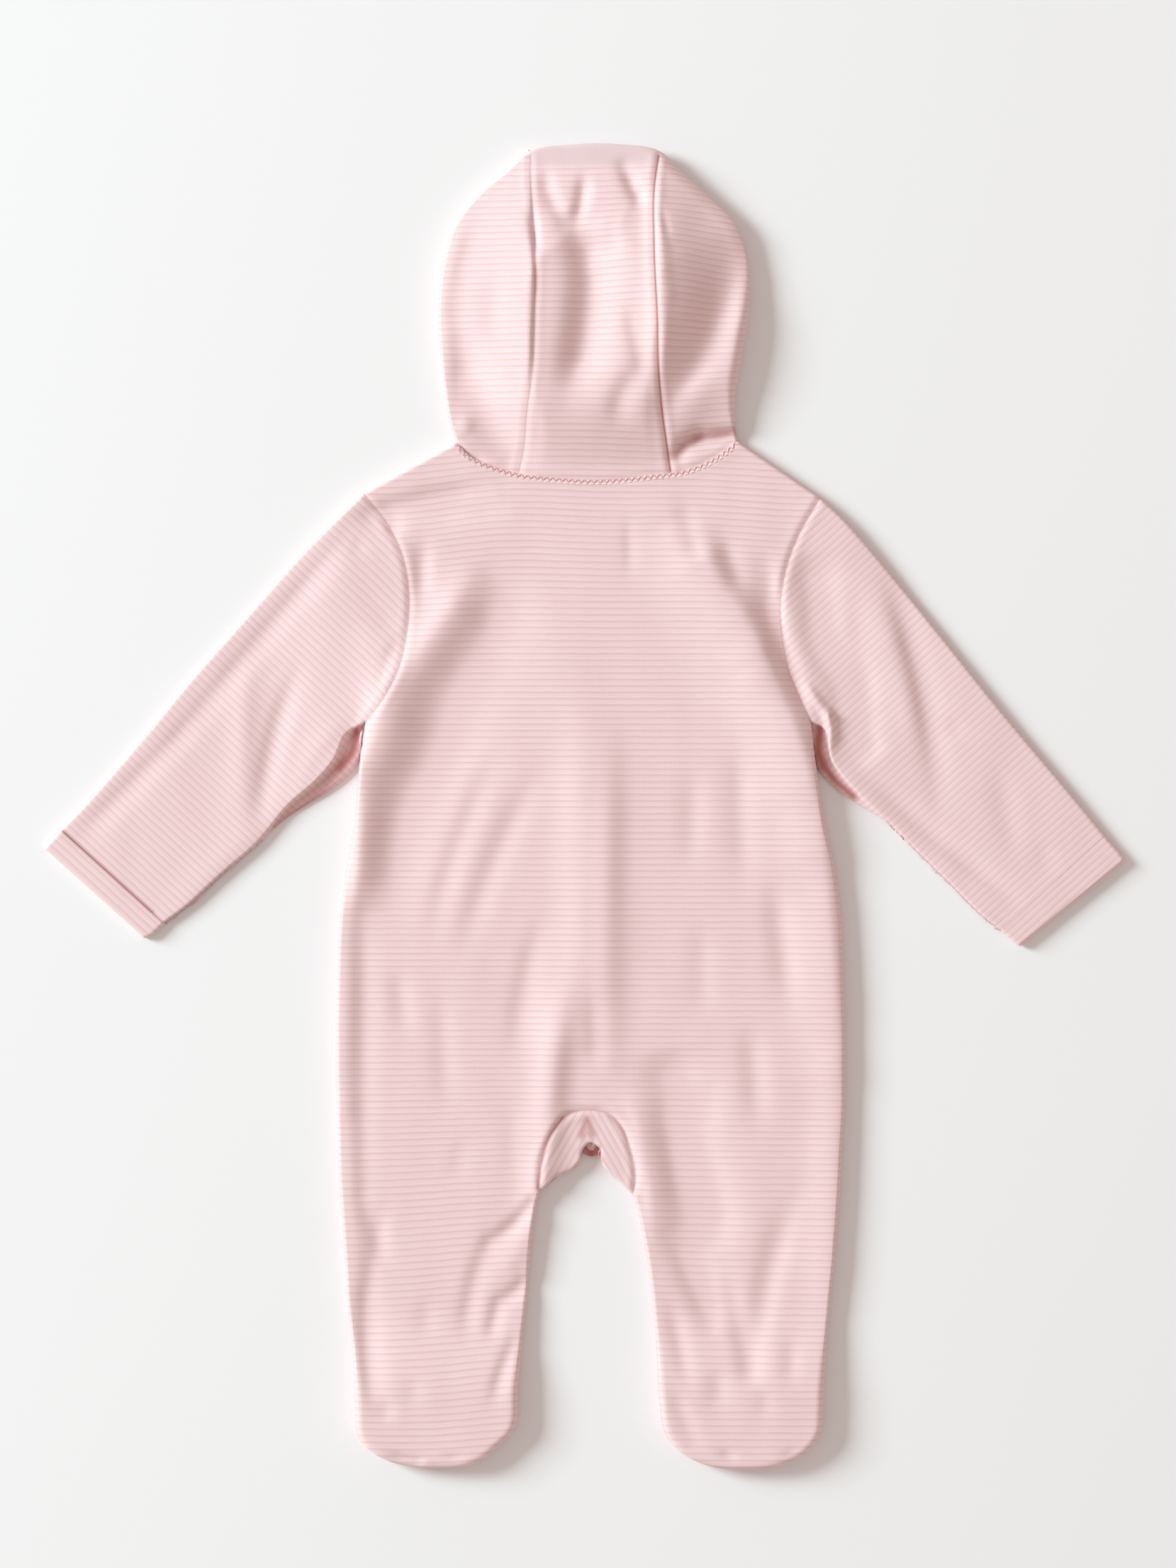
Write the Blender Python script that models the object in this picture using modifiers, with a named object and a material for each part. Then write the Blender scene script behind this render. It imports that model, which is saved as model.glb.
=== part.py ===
"""Footed baby sleepsuit with a hood, lying flat on its front.

The wearer's left is at -X, the head at +Y, and the back looks up along +Z. Every piece is a
cloth wall: an open surface through sections, thickened inwards. The upper layer is the back,
the lower layer is the front, and they meet at mid height along the outline.
"""
import math

import bmesh
import bpy
import numpy as np

# ---------------------------------------------------------------- driving dimensions, in metres
WALL = 0.0012                 # one layer of interlock cloth
BAND_WALL = 0.0022            # the doubled cuff band
SEAM_GAP = 0.0003             # between two pieces that are sewn together
CURVED_GAP = 0.0005           # the same where the seam curves and the cloth rolls over it
FRONT_NECK_GAP = 0.0008
PLACKET_FOOT_GAP = 0.0008     # between the two fronts where the overlap ends at the foot
CORNER_SPREAD = 0.007         # near a seam's end the two layers stand further apart
UPPER_CORNER = 0.0003
LOWER_CORNER = 0.0006
ROLL = 0.0045                 # how far in from a folded edge the cloth has bent flat
UPPER_SEAM = 0.0039           # height of the upper layer's rim along the outline
LOWER_SEAM = 0.0034           # height of the lower layer's rim along the outline
UPPER_HEIGHT = 0.0064         # outer face of the upper layer where it lies flat
HOOD_HEIGHT = 0.0130          # crown of the hood
HOOD_ROLL = 0.012             # its softer fold
HOOD_EDGE = 0.0050            # mid height of that fold
HOOD_RISE = 0.045             # the hood gains its height over this length from the neck
BAND_STEP = 0.0007            # the cuff band stands this much above the sleeve
PLACKET_HALF = 0.009          # half the width of the front overlap
PLACKET_OUTER = 0.0011        # the outer edge is held up by the stud caps
PLACKET_INNER = 0.0026        # the under edge lies on the outer one
PLACKET_SLOPE = 0.011         # over this width the front comes down to the floor again
PLACKET_NARROW = (-0.301, -0.316)  # between these levels the overlap narrows to a plain seam
PLACKET_LAND = (-0.318, -0.336)    # and between these that seam comes down to the floor
STUD_RADIUS = 0.00475
STUD_THICK = 0.0008
STUD_FIRST = 0.014            # along the placket, from the neck
STUD_PITCH = 0.057
STUD_COUNT = 9

ROLL_STEPS = np.array([0.0, 0.0, 0.13, 0.5, 1.0]) * ROLL   # columns across a folded edge
NECK_STEPS = np.array([0.0, 0.002, 0.004, 0.0065, 0.009])  # rows below the neck seam
STRIP_RISE = 0.14             # the first step up a folded edge is upright
BOW_REACH = 0.110             # below this the rows of the body are straight
HOOD_BOW_REACH = 0.040        # the same above the neck, and below the crown
SLEEVE_BOW_REACH = 0.090      # and beyond the armhole
MERGE = 0.000002

LAP_MARGIN = 0.0004           # the first column from the overlap's edge clears the other layer
LAP_NARROWEST = 0.003
LAP_NEXT = 0.0066             # and the next one is part of the way down the slope

BACK_COLUMNS = 15             # across each half of the back and each leg
FRONT_COLUMNS = 11
MIDDLE_COLUMNS = 8            # across the front between the overlap and the split line
BACK_SHOULDER = 5             # columns of a top row that lie on the shoulder
FRONT_SHOULDER = 4
UNDERARM_ROWS = (0.007, 0.0025)   # extra rows just above the underarm
TOE_RAYS = 12
UPPER_ROWS = 6                # rows between the neck rows and the underarm
BACK_LOWER_ROWS = 9           # and from there to the crotch
FRONT_LOWER_ROWS = 9
SIDE_LOWER_ROWS = 15          # or to the foot
ROWS_TO_UNDERARM = len(NECK_STEPS) + UPPER_ROWS + len(UNDERARM_ROWS) + 1
LEG_ROWS = 7                  # from the gusset's end to the foot
PLAIN_LEG_ROWS = 5
NECK_CROWDING = 1.4           # the columns stand closer towards the shoulder
CUFF_COLUMNS = 15
GUSSET_COLUMNS = 4
GUSSET_END_GAP = 1.3          # times the seam's gap, at the two ends of the gusset
CROSSING_ROWS = np.array([0.0, 0.4, 0.7, 0.9])    # across the gusset's end, by share
TURN_ROWS = np.array([0.0, 0.0025, 0.0055])       # and just below it
CENTRE_ACROSS = np.array([0.0, 0.03, 0.2, 0.4, 0.6, 0.8, 0.97, 1.0])[:, None]
HOOD_ROWS = np.array([0, 0.3, 0.7, 1.2, 2, 3, 4, 5, 6, 6.7, 7.4, 8, 8.5, 8.85, 9])
HOOD_UP = np.array([0.0, 0.2, 0.4, 0.58, 0.73, 0.85, 0.93, 0.98, 1.0])
HOOD_UNDER = np.array([0.0, 0.012, 0.045, 0.09, 0.18, 0.3, 0.45, 0.62, 0.8, 1.0])
CROWN_OVER = (0.35, 0.7, 0.9, 1.0)
CROWN_UNDER = (0.018, 0.07, 0.14, 0.4, 0.7, 1.0)
SLEEVE_ROWS = np.array([0, 0.4, 1, 2, 3, 4, 5, 6.5, 8])
STUD_SIDES = 12


def table(columns, rows):
    """Named arrays, one for each column of a table of sizes."""
    return dict(zip(columns.split(), np.array(rows, dtype=float).T))


# The outline of the back, a row for each section from the shoulder to the crotch: armhole,
# then side, where the cloth is folded; and the middle line at the same sections
BACK_LEFT = table("x y fold", [
    (-0.1240, 0.1742, 0), (-0.1106, 0.1572, 0), (-0.1023, 0.1402, 0), (-0.0984, 0.1177, 0),
    (-0.0999, 0.0948, 0), (-0.1043, 0.0762, 0), (-0.1122, 0.0605, 0), (-0.1232, 0.0455, 1),
    (-0.1256, 0.0265, 1), (-0.1272, 0.0107, 1), (-0.1288, -0.0091, 1), (-0.1325, -0.0300, 1),
    (-0.1368, -0.0620, 1), (-0.1385, -0.0960, 1), (-0.1390, -0.1300, 1), (-0.1386, -0.1650, 1),
])
BACK_RIGHT = table("x y fold", [
    (0.1307, 0.1718, 0), (0.1197, 0.1530, 0), (0.1130, 0.1367, 0), (0.1086, 0.1138, 0),
    (0.1094, 0.0948, 0), (0.1130, 0.0762, 0), (0.1190, 0.0608, 0), (0.1260, 0.0460, 1),
    (0.1280, 0.0265, 1), (0.1303, 0.0107, 1), (0.1331, -0.0091, 1), (0.1380, -0.0300, 1),
    (0.1424, -0.0620, 1), (0.1438, -0.0960, 1), (0.1446, -0.1300, 1), (0.1444, -0.1650, 1),
])
BACK_MIDDLE = table("x y", [
    (0.0040, 0.1817), (0.0040, 0.1610), (0.0035, 0.1410), (0.0030, 0.1175),
    (0.0030, 0.0935), (0.0030, 0.0730), (0.0030, 0.0550), (0.0030, 0.0410),
    (0.0030, 0.0240), (0.0030, 0.0080), (0.0030, -0.0120), (0.0030, -0.0320),
    (0.0028, -0.0630), (0.0022, -0.0960), (0.0014, -0.1300), (0.0008, -0.1695),
])
UNDERARM = 7                  # the section where the armhole ends and the side begins
FRONT_UNDERARM = 8            # the same for the front, a little lower

# Each leg from the top of the crotch arch down: outer side, inner side (the arch seam, across
# the gusset's end, then the inside leg), and 1 where the inner side is a folded edge
LEG_LEFT = table("out_x out_y in_x in_y in_fold", [
    (-0.1386, -0.1650, 0.0008, -0.1695, 0),
    (-0.1385, -0.1720, -0.0103, -0.1722, 0),
    (-0.1382, -0.1805, -0.0174, -0.1801, 0),
    (-0.1380, -0.1900, -0.0221, -0.1892, 0),
    (-0.1376, -0.2040, -0.0256, -0.2030, 0),
    (-0.1369, -0.2150, -0.0218, -0.2128, 1),
    (-0.1365, -0.2205, -0.0266, -0.2190, 1),
    (-0.1357, -0.2330, -0.0291, -0.2325, 1),
    (-0.1343, -0.2530, -0.0311, -0.2530, 1),
    (-0.1327, -0.2780, -0.0332, -0.2780, 1),
    (-0.1302, -0.3010, -0.0356, -0.3010, 1),
    (-0.1293, -0.3160, -0.0370, -0.3160, 1),
    (-0.1288, -0.3250, -0.0377, -0.3250, 1),
    (-0.1284, -0.3390, -0.0377, -0.3390, 1),
])
LEG_RIGHT = table("out_x out_y in_x in_y in_fold", [
    (0.1444, -0.1650, 0.0008, -0.1695, 0),
    (0.1442, -0.1720, 0.0138, -0.1722, 0),
    (0.1437, -0.1805, 0.0209, -0.1801, 0),
    (0.1431, -0.1900, 0.0243, -0.1892, 0),
    (0.1423, -0.2060, 0.0273, -0.2045, 0),
    (0.1416, -0.2175, 0.0232, -0.2160, 1),
    (0.1412, -0.2230, 0.0284, -0.2225, 1),
    (0.1403, -0.2345, 0.0309, -0.2340, 1),
    (0.1387, -0.2545, 0.0347, -0.2545, 1),
    (0.1363, -0.2780, 0.0375, -0.2780, 1),
    (0.1343, -0.3010, 0.0393, -0.3010, 1),
    (0.1327, -0.3250, 0.0405, -0.3250, 1),
    (0.1323, -0.3390, 0.0417, -0.3390, 1),
])
GUSSET_CORNERS = (4, 5)       # the two sections at the gusset's end
TOE_LEFT = table("x y", [
    (-0.1284, -0.3390), (-0.1270, -0.3510), (-0.1181, -0.3606), (-0.1098, -0.3650),
    (-0.0995, -0.3677), (-0.0829, -0.3689), (-0.0679, -0.3681), (-0.0593, -0.3654),
    (-0.0478, -0.3560), (-0.0394, -0.3468), (-0.0377, -0.3390),
])
TOE_RIGHT = table("x y", [
    (0.1323, -0.3390), (0.1313, -0.3490), (0.1252, -0.3583), (0.1145, -0.3654),
    (0.1019, -0.3689), (0.0885, -0.3697), (0.0743, -0.3689), (0.0640, -0.3662),
    (0.0510, -0.3583), (0.0432, -0.3475), (0.0417, -0.3390),
])

# The crotch edge: its point beside each section of the arch, from the arch's top outwards
CROTCH_LEFT = table("x y", [
    (0.0020, -0.1925), (-0.0025, -0.1940), (-0.0070, -0.1985), (-0.0120, -0.2040),
    (-0.0218, -0.2128),
])
CROTCH_RIGHT = table("x y", [
    (0.0020, -0.1925), (0.0065, -0.1940), (0.0105, -0.2000), (0.0152, -0.2075),
    (0.0232, -0.2160),
])

# Neck seam, from the wearer's left shoulder to the right one
NECK_BACK = table("x y", [
    (-0.0719, 0.2026), (-0.0648, 0.1951), (-0.0537, 0.1900), (-0.0375, 0.1853),
    (-0.0166, 0.1829), (0.0040, 0.1817), (0.0375, 0.1845), (0.0541, 0.1868),
    (0.0707, 0.1935), (0.0845, 0.2034),
])
NECK_FRONT = table("x y", [
    (-0.0719, 0.2026), (-0.0610, 0.1890), (-0.0360, 0.1780), (0.0030, 0.1735),
    (0.0420, 0.1780), (0.0710, 0.1900), (0.0845, 0.2034),
])

# The front armhole, from the shoulder down to the underarm point
FRONT_ARMHOLE_LEFT = table("x y", [
    (-0.1240, 0.1742), (-0.1112, 0.1560), (-0.1040, 0.1380), (-0.1015, 0.1150),
    (-0.1035, 0.0930), (-0.1095, 0.0700), (-0.1185, 0.0470), (-0.1256, 0.0265),
])
FRONT_ARMHOLE_RIGHT = table("x y", [
    (0.1307, 0.1718), (0.1200, 0.1530), (0.1138, 0.1360), (0.1110, 0.1140),
    (0.1125, 0.0930), (0.1170, 0.0700), (0.1232, 0.0470), (0.1280, 0.0265),
])
SPLIT_LINE = table("x y", [
    (0.0450, 0.1786), (0.0400, 0.0600), (0.0370, -0.0200), (0.0320, -0.0700),
    (0.0270, -0.1050), (0.0215, -0.1300), (0.0140, -0.1520), (0.0008, -0.1695),
])
PLACKET = table("x y", [
    (0.0030, 0.1735), (0.0020, 0.0600), (0.0000, -0.0700), (-0.0090, -0.1250),
    (-0.0350, -0.1760), (-0.0600, -0.2200), (-0.0760, -0.2700), (-0.0830, -0.3200),
    (-0.0830, -0.3689),
])

# Each sleeve from the armhole to the cuff: upper edge, lower edge, and the edge of the lower
# layer, which shows below it near the underarm
SLEEVE_LEFT = table("up_x up_y low_x low_y lip_x lip_y", [
    (-0.1240, 0.1742, -0.1232, 0.0455, -0.1259, 0.0267),
    (-0.1400, 0.1586, -0.1330, 0.0405, -0.1336, 0.0170),
    (-0.1590, 0.1395, -0.1400, 0.0250, -0.1450, 0.0075),
    (-0.1790, 0.1168, -0.1510, 0.0120, -0.1562, 0.0002),
    (-0.1990, 0.0942, -0.1660, -0.0012, -0.1690, -0.0085),
    (-0.2204, 0.0699, -0.1825, -0.0210, -0.1825, -0.0210),
    (-0.2465, 0.0383, -0.2022, -0.0381, -0.2022, -0.0381),
    (-0.2737, 0.0067, -0.2210, -0.0553, -0.2210, -0.0553),
    (-0.2923, -0.0130, -0.2346, -0.0655, -0.2346, -0.0655),
])
SLEEVE_RIGHT = table("up_x up_y low_x low_y lip_x lip_y", [
    (0.1307, 0.1718, 0.1260, 0.0460, 0.1283, 0.0267),
    (0.1450, 0.1586, 0.1345, 0.0405, 0.1350, 0.0185),
    (0.1620, 0.1392, 0.1420, 0.0240, 0.1440, 0.0095),
    (0.1815, 0.1155, 0.1530, 0.0085, 0.1548, 0.0020),
    (0.2000, 0.0926, 0.1693, -0.0102, 0.1693, -0.0102),
    (0.2210, 0.0663, 0.1851, -0.0260, 0.1851, -0.0260),
    (0.2450, 0.0370, 0.2021, -0.0427, 0.2021, -0.0427),
    (0.2706, 0.0067, 0.2190, -0.0597, 0.2190, -0.0597),
    (0.2895, -0.0165, 0.2318, -0.0700, 0.2318, -0.0700),
])
CUFF_LEFT = table("up_x up_y low_x low_y", [
    (-0.2925, -0.0132, -0.2348, -0.0657),
    (-0.2990, -0.0203, -0.2418, -0.0722),
    (-0.3022, -0.0237, -0.2463, -0.0738),
])
CUFF_RIGHT = table("up_x up_y low_x low_y", [
    (0.2897, -0.0167, 0.2320, -0.0702),
    (0.2985, -0.0268, 0.2392, -0.0762),
    (0.3010, -0.0312, 0.2425, -0.0785),
])
# The step from the sleeve's lower edge out to the edge of its lower layer: share of the way,
# and the heights with no step and with a full one
LIP = table("share plain stepped", [
    (0.12, 0.00375, 0.0033), (0.50, 0.0034, 0.0035), (0.84, 0.0031, 0.0030), (1.00, 0.0029, 0.0017),
])
LIP_FULL = 0.006              # how wide the step must be to have its full form
LIP_ROLL = 0.0018
UNDERARM_GAP = 0.0010
UNDERARM_OPENING = 0.014

# The hood's side pieces, from the neck to the crown: seam with the centre strip, outline, and
# the edge of the face opening on the underside
HOOD_LEFT = table("seam_x seam_y edge_x edge_y face_x face_y", [
    (-0.0375, 0.1853, -0.0719, 0.2026, -0.0010, 0.1737),
    (-0.0345, 0.2000, -0.0755, 0.2130, -0.0060, 0.1900),
    (-0.0328, 0.2184, -0.0785, 0.2310, -0.0150, 0.2130),
    (-0.0292, 0.2449, -0.0812, 0.2550, -0.0250, 0.2430),
    (-0.0284, 0.2720, -0.0820, 0.2800, -0.0300, 0.2700),
    (-0.0278, 0.2980, -0.0795, 0.3020, -0.0330, 0.2950),
    (-0.0283, 0.3200, -0.0725, 0.3240, -0.0335, 0.3130),
    (-0.0300, 0.3380, -0.0585, 0.3415, -0.0330, 0.3240),
    (-0.0308, 0.3520, -0.0430, 0.3545, -0.0320, 0.3290),
    (-0.0308, 0.3622, -0.0310, 0.3650, -0.0308, 0.3320),
])
HOOD_RIGHT = table("seam_x seam_y edge_x edge_y face_x face_y", [
    (0.0474, 0.1862, 0.0845, 0.2034, 0.0090, 0.1737),
    (0.0452, 0.2010, 0.0832, 0.2150, 0.0150, 0.1900),
    (0.0425, 0.2200, 0.0838, 0.2310, 0.0240, 0.2130),
    (0.0404, 0.2449, 0.0880, 0.2560, 0.0340, 0.2430),
    (0.0397, 0.2720, 0.0912, 0.2800, 0.0385, 0.2700),
    (0.0384, 0.2980, 0.0906, 0.3010, 0.0410, 0.2950),
    (0.0378, 0.3200, 0.0840, 0.3232, 0.0415, 0.3130),
    (0.0378, 0.3380, 0.0690, 0.3390, 0.0412, 0.3240),
    (0.0392, 0.3520, 0.0520, 0.3545, 0.0408, 0.3290),
    (0.0407, 0.3618, 0.0410, 0.3648, 0.0407, 0.3320),
])
HOOD_TOP = table("x y", [
    (-0.0310, 0.3650), (-0.0103, 0.3685), (0.0055, 0.3693), (0.0213, 0.3685), (0.0410, 0.3648),
])
FOREHEAD = 0.3320             # the centre strip ends here on the underside

# Largest folds of the upper layer: a ridge or a trough from one end to the other
FOLDS = table("x0 y0 x1 y1 width lift", [
    (-0.1160, 0.0300, -0.1275, -0.0700, 0.0060, 0.0020),     # left side ridge
    (-0.1275, -0.0700, -0.1285, -0.1900, 0.0060, 0.0012),    # and its lower end
    (0.1190, 0.0250, 0.1330, -0.0800, 0.0070, 0.0020),       # right side ridge
    (0.1330, -0.0800, 0.1300, -0.2200, 0.0070, 0.0014),
    (-0.0780, 0.1250, -0.1130, -0.0150, 0.0100, -0.0016),    # trough from armhole to waist
    (0.0850, 0.1150, 0.1120, 0.0200, 0.0100, -0.0012),       # its pair on the right
    (0.0140, 0.0500, 0.0120, -0.1450, 0.0120, 0.0008),       # long middle swell
    (-0.0350, 0.0700, -0.0300, -0.1300, 0.0120, 0.0010),
    (-0.0180, -0.2000, -0.0600, -0.0900, 0.0090, 0.0012),    # swells that leave the crotch
    (0.0220, -0.2000, 0.0650, -0.1100, 0.0090, 0.0010),
    (-0.0330, -0.2300, -0.0640, -0.2620, 0.0060, 0.0012),    # wrinkles at the inside leg
    (-0.0360, -0.2750, -0.0620, -0.3000, 0.0060, 0.0012),
    (0.0470, -0.2400, 0.0560, -0.3300, 0.0070, 0.0012),
    (-0.1500, 0.1200, -0.2500, 0.0050, 0.0120, 0.0010),      # swells along the sleeves
    (0.1560, 0.1180, 0.2480, 0.0030, 0.0120, 0.0010),
    (-0.1100, 0.1300, -0.1130, 0.0800, 0.0060, 0.0012),      # sleeve heads
    (0.1190, 0.1260, 0.1230, 0.0800, 0.0060, 0.0012),
    (-0.0080, 0.3250, -0.0110, 0.2400, 0.0090, -0.0016),     # trough down the hood
    (0.0190, 0.3400, 0.0120, 0.2200, 0.0110, 0.0014),
    (0.0760, 0.2950, 0.0480, 0.2300, 0.0090, -0.0022),       # creases of the hood's sides
    (-0.0700, 0.2450, -0.0430, 0.1980, 0.0080, -0.0016),
    (0.0560, 0.2000, 0.0800, 0.2120, 0.0050, -0.0020),
    (0.0015, -0.1780, 0.0018, -0.1850, 0.0040, -0.0010),     # dip in the gusset
])

CLOTH = {
    "back": (0.80, 0.60, 0.59),
    "front": (0.78, 0.58, 0.57),
    "sleeve": (0.80, 0.61, 0.60),
    "cuff": (0.77, 0.57, 0.56),
    "hood": (0.81, 0.61, 0.60),
    "gusset": (0.76, 0.55, 0.54),
}
CLOTH_ROUGHNESS = 0.9
STUD_COLOUR = (0.86, 0.74, 0.73)
STUD_ROUGHNESS = 0.35


# ---------------------------------------------------------------- curves in the plan
def pairs(data, x="x", y="y"):
    return np.column_stack([data[x], data[y]])


def run_lengths(points):
    steps = np.hypot(*np.diff(points[:, :2], axis=0).T)
    return np.concatenate([[0.0], np.cumsum(steps)])


def through(knots, values, at, corners=()):
    """Points at the stations `at` of the smooth curve with `values` at `knots`.

    At the knots numbered in `corners` the curve turns sharply.
    """
    leaving = np.zeros_like(values)
    arriving = np.zeros_like(values)
    bounds = [0, *corners, len(knots) - 1]
    for first, last in zip(bounds[:-1], bounds[1:]):
        slopes = np.gradient(values[first:last + 1], knots[first:last + 1], axis=0)
        leaving[first:last] = slopes[:-1]
        arriving[first + 1:last + 1] = slopes[1:]
    at = np.clip(np.asarray(at, dtype=float), knots[0], knots[-1])
    i = np.clip(np.searchsorted(knots, at, side="right") - 1, 0, len(knots) - 2)
    span = (knots[i + 1] - knots[i])[:, None]
    u = (at - knots[i])[:, None] / span
    return ((1 + 2 * u) * (1 - u) ** 2 * values[i] + u * (1 - u) ** 2 * span * leaving[i]
            + u ** 2 * (3 - 2 * u) * values[i + 1] + u ** 2 * (u - 1) * span * arriving[i + 1])


def at_share(line, share):
    """The points at shares of a line's length."""
    length = run_lengths(line)
    wanted = np.clip(share, 0.0, 1.0) * length[-1]
    return np.column_stack([np.interp(wanted, length, line[:, i]) for i in range(2)])


def smooth_line(points, count=120, corners=()):
    """Points spaced evenly along a smooth curve through the given ones."""
    knots = run_lengths(points)
    fine = through(knots, points, np.linspace(0.0, knots[-1], 12 * len(points)), corners)
    return at_share(fine, np.linspace(0.0, 1.0, count))


def share_at_x(line, x):
    """The share of a line's length where it crosses x."""
    order = np.argsort(line[:, 0])
    length = run_lengths(line)
    return np.interp(x, line[order, 0], length[order]) / length[-1]


def stretch_of(line, from_x, to_x, shares):
    """Points on the line between two values of x, at shares of that stretch."""
    first = share_at_x(line, from_x)
    last = share_at_x(line, to_x)
    return at_share(line, first + np.asarray(shares) * (last - first))


def distance_to(lines, plan):
    """Distance in the plan from each point to the nearest of the lines."""
    flat = plan.reshape(-1, 2)
    best = np.full(len(flat), 1.0)
    for line in lines:
        start = line[:-1]
        run = line[1:] - start
        square = np.maximum((run ** 2).sum(axis=1), 1e-12)
        share = ((flat[:, None] - start) * run).sum(axis=2) / square
        foot = start + np.clip(share, 0.0, 1.0)[:, :, None] * run
        away = flat[:, None] - foot
        best = np.minimum(best, np.sqrt((away ** 2).sum(axis=2)).min(axis=1))
    return best.reshape(plan.shape[:-1])


def ease(value):
    value = np.clip(value, 0.0, 1.0)
    return value * value * (3 - 2 * value)


def moved_left(line, distance):
    """The line moved in the plan, to the left of its direction."""
    run = np.gradient(line, axis=0)
    for i in range(len(run)):
        if np.hypot(*run[i]) < 1e-9:
            run[i] = run[i - 1] if i else run[i + 1]
    run /= np.hypot(run[:, 0], run[:, 1])[:, None]
    return line + distance * np.column_stack([-run[:, 1], run[:, 0]])


# ---------------------------------------------------------------- outlines
def body_outline(side, leg, toe, underarm):
    """The folded outline of one half, from the underarm down, round the toe, to the gusset."""
    return np.concatenate([
        smooth_line(pairs(side)[underarm:], 60),
        smooth_line(pairs(leg, "out_x", "out_y"), 60)[1:],
        smooth_line(pairs(toe), 60)[1:],
        smooth_line(pairs(leg, "in_x", "in_y")[GUSSET_CORNERS[1]:], 40)[::-1][1:],
    ])


def sleeve_edge(sleeve, x, y, cuff, cuff_x, cuff_y):
    edge = np.concatenate([pairs(sleeve, x, y), pairs(cuff, cuff_x, cuff_y)[1:]])
    return smooth_line(edge, 80)


NECK_BACK_LINE = smooth_line(pairs(NECK_BACK))
NECK_FRONT_LINE = smooth_line(pairs(NECK_FRONT))
PLACKET_LINE = smooth_line(pairs(PLACKET), 160)
CROTCH_LINE = smooth_line(np.concatenate([pairs(CROTCH_LEFT)[::-1], pairs(CROTCH_RIGHT)[1:]]), 80)
SHOULDERS = [
    np.concatenate([[neck_end], sleeve_edge(sleeve, "up_x", "up_y", cuff, "up_x", "up_y")])
    for neck_end, sleeve, cuff in [
        (NECK_BACK_LINE[0], SLEEVE_LEFT, CUFF_LEFT), (NECK_BACK_LINE[-1], SLEEVE_RIGHT, CUFF_RIGHT)]
]


def layer_outlines(underarm, x, y):
    """All folded edges of one layer: `x y` names the sleeve's edge for it."""
    return SHOULDERS + [
        body_outline(BACK_LEFT, LEG_LEFT, TOE_LEFT, underarm),
        body_outline(BACK_RIGHT, LEG_RIGHT, TOE_RIGHT, underarm),
        CROTCH_LINE,
        sleeve_edge(SLEEVE_LEFT, x, y, CUFF_LEFT, "low_x", "low_y"),
        sleeve_edge(SLEEVE_RIGHT, x, y, CUFF_RIGHT, "low_x", "low_y"),
    ]


UPPER_OUTLINES = layer_outlines(UNDERARM, "low_x", "low_y")
LOWER_OUTLINES = layer_outlines(FRONT_UNDERARM, "lip_x", "lip_y")
SEAM_CORNERS = [
    NECK_BACK_LINE[0], NECK_BACK_LINE[-1],
    pairs(CROTCH_LEFT)[-1], pairs(CROTCH_RIGHT)[-1],
    pairs(BACK_LEFT)[UNDERARM], pairs(BACK_RIGHT)[UNDERARM],
    pairs(FRONT_ARMHOLE_LEFT)[-1], pairs(FRONT_ARMHOLE_RIGHT)[-1],
]
HOOD_EDGE_POINTS = np.concatenate([
    pairs(HOOD_LEFT, "edge_x", "edge_y"),
    pairs(HOOD_TOP)[1:-1],
    pairs(HOOD_RIGHT, "edge_x", "edge_y")[::-1],
])
HOOD_EDGE_KNOTS = run_lengths(HOOD_EDGE_POINTS)
HOOD_OUTLINES = [smooth_line(HOOD_EDGE_POINTS, 240)]


# ---------------------------------------------------------------- heights of the two layers
def folded(distance, reach):
    """How far a layer has risen, 0 at a folded edge and 1 from `reach` inwards."""
    inward = np.clip(distance / reach, 0.0, 1.0)
    return np.sqrt(1.0 - (1.0 - inward) ** 2)


def relief(plan):
    """Sum of the ridges and troughs at each point."""
    total = np.zeros(plan.shape[:-1])
    for x0, y0, x1, y1, width, lift in zip(*FOLDS.values()):
        run = np.array([x1 - x0, y1 - y0])
        share = np.clip(((plan - (x0, y0)) @ run) / (run @ run), 0.0, 1.0)
        away = plan - (np.array([x0, y0]) + share[..., None] * run)
        total += lift * np.exp(-(away ** 2).sum(axis=-1) / width ** 2)
    return total


def near_corner(plan):
    """1 at the ends of the neck seam and of the gusset, falling to 0 around them."""
    total = np.zeros(plan.shape[:-1])
    for corner in SEAM_CORNERS:
        away = plan - corner
        total += np.exp(-(away ** 2).sum(axis=-1) / CORNER_SPREAD ** 2)
    return total


def with_height(plan, height):
    return np.concatenate([plan, height[..., None]], axis=-1)


def edge_rise(plan, flags, outlines):
    """Rise of a layer. Flag 1 is a folded edge, and flag 2 the top of its upright strip."""
    rise = folded(distance_to(outlines, plan), ROLL)
    rise = np.where(flags == 1, 0.0, rise)
    return np.where(flags == 2, STRIP_RISE, rise)


def upper_layer(plan, flags):
    """Outer face of the back and of the sleeve tops."""
    rise = edge_rise(plan, flags, UPPER_OUTLINES)
    rim = UPPER_SEAM + UPPER_CORNER * near_corner(plan)
    return with_height(plan, rim + (UPPER_HEIGHT + relief(plan) - rim) * rise)


def placket_offset(plan):
    """Signed distance from the middle of the overlap, positive towards +X."""
    line_x = np.interp(-plan[..., 1], -PLACKET_LINE[:, 1], PLACKET_LINE[:, 0])
    return np.sign(plan[..., 0] - line_x) * distance_to([PLACKET_LINE], plan)


def between_levels(level, levels):
    """1 above the first level, easing to 0 at the second."""
    return ease((level - levels[1]) / (levels[0] - levels[1]))


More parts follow.
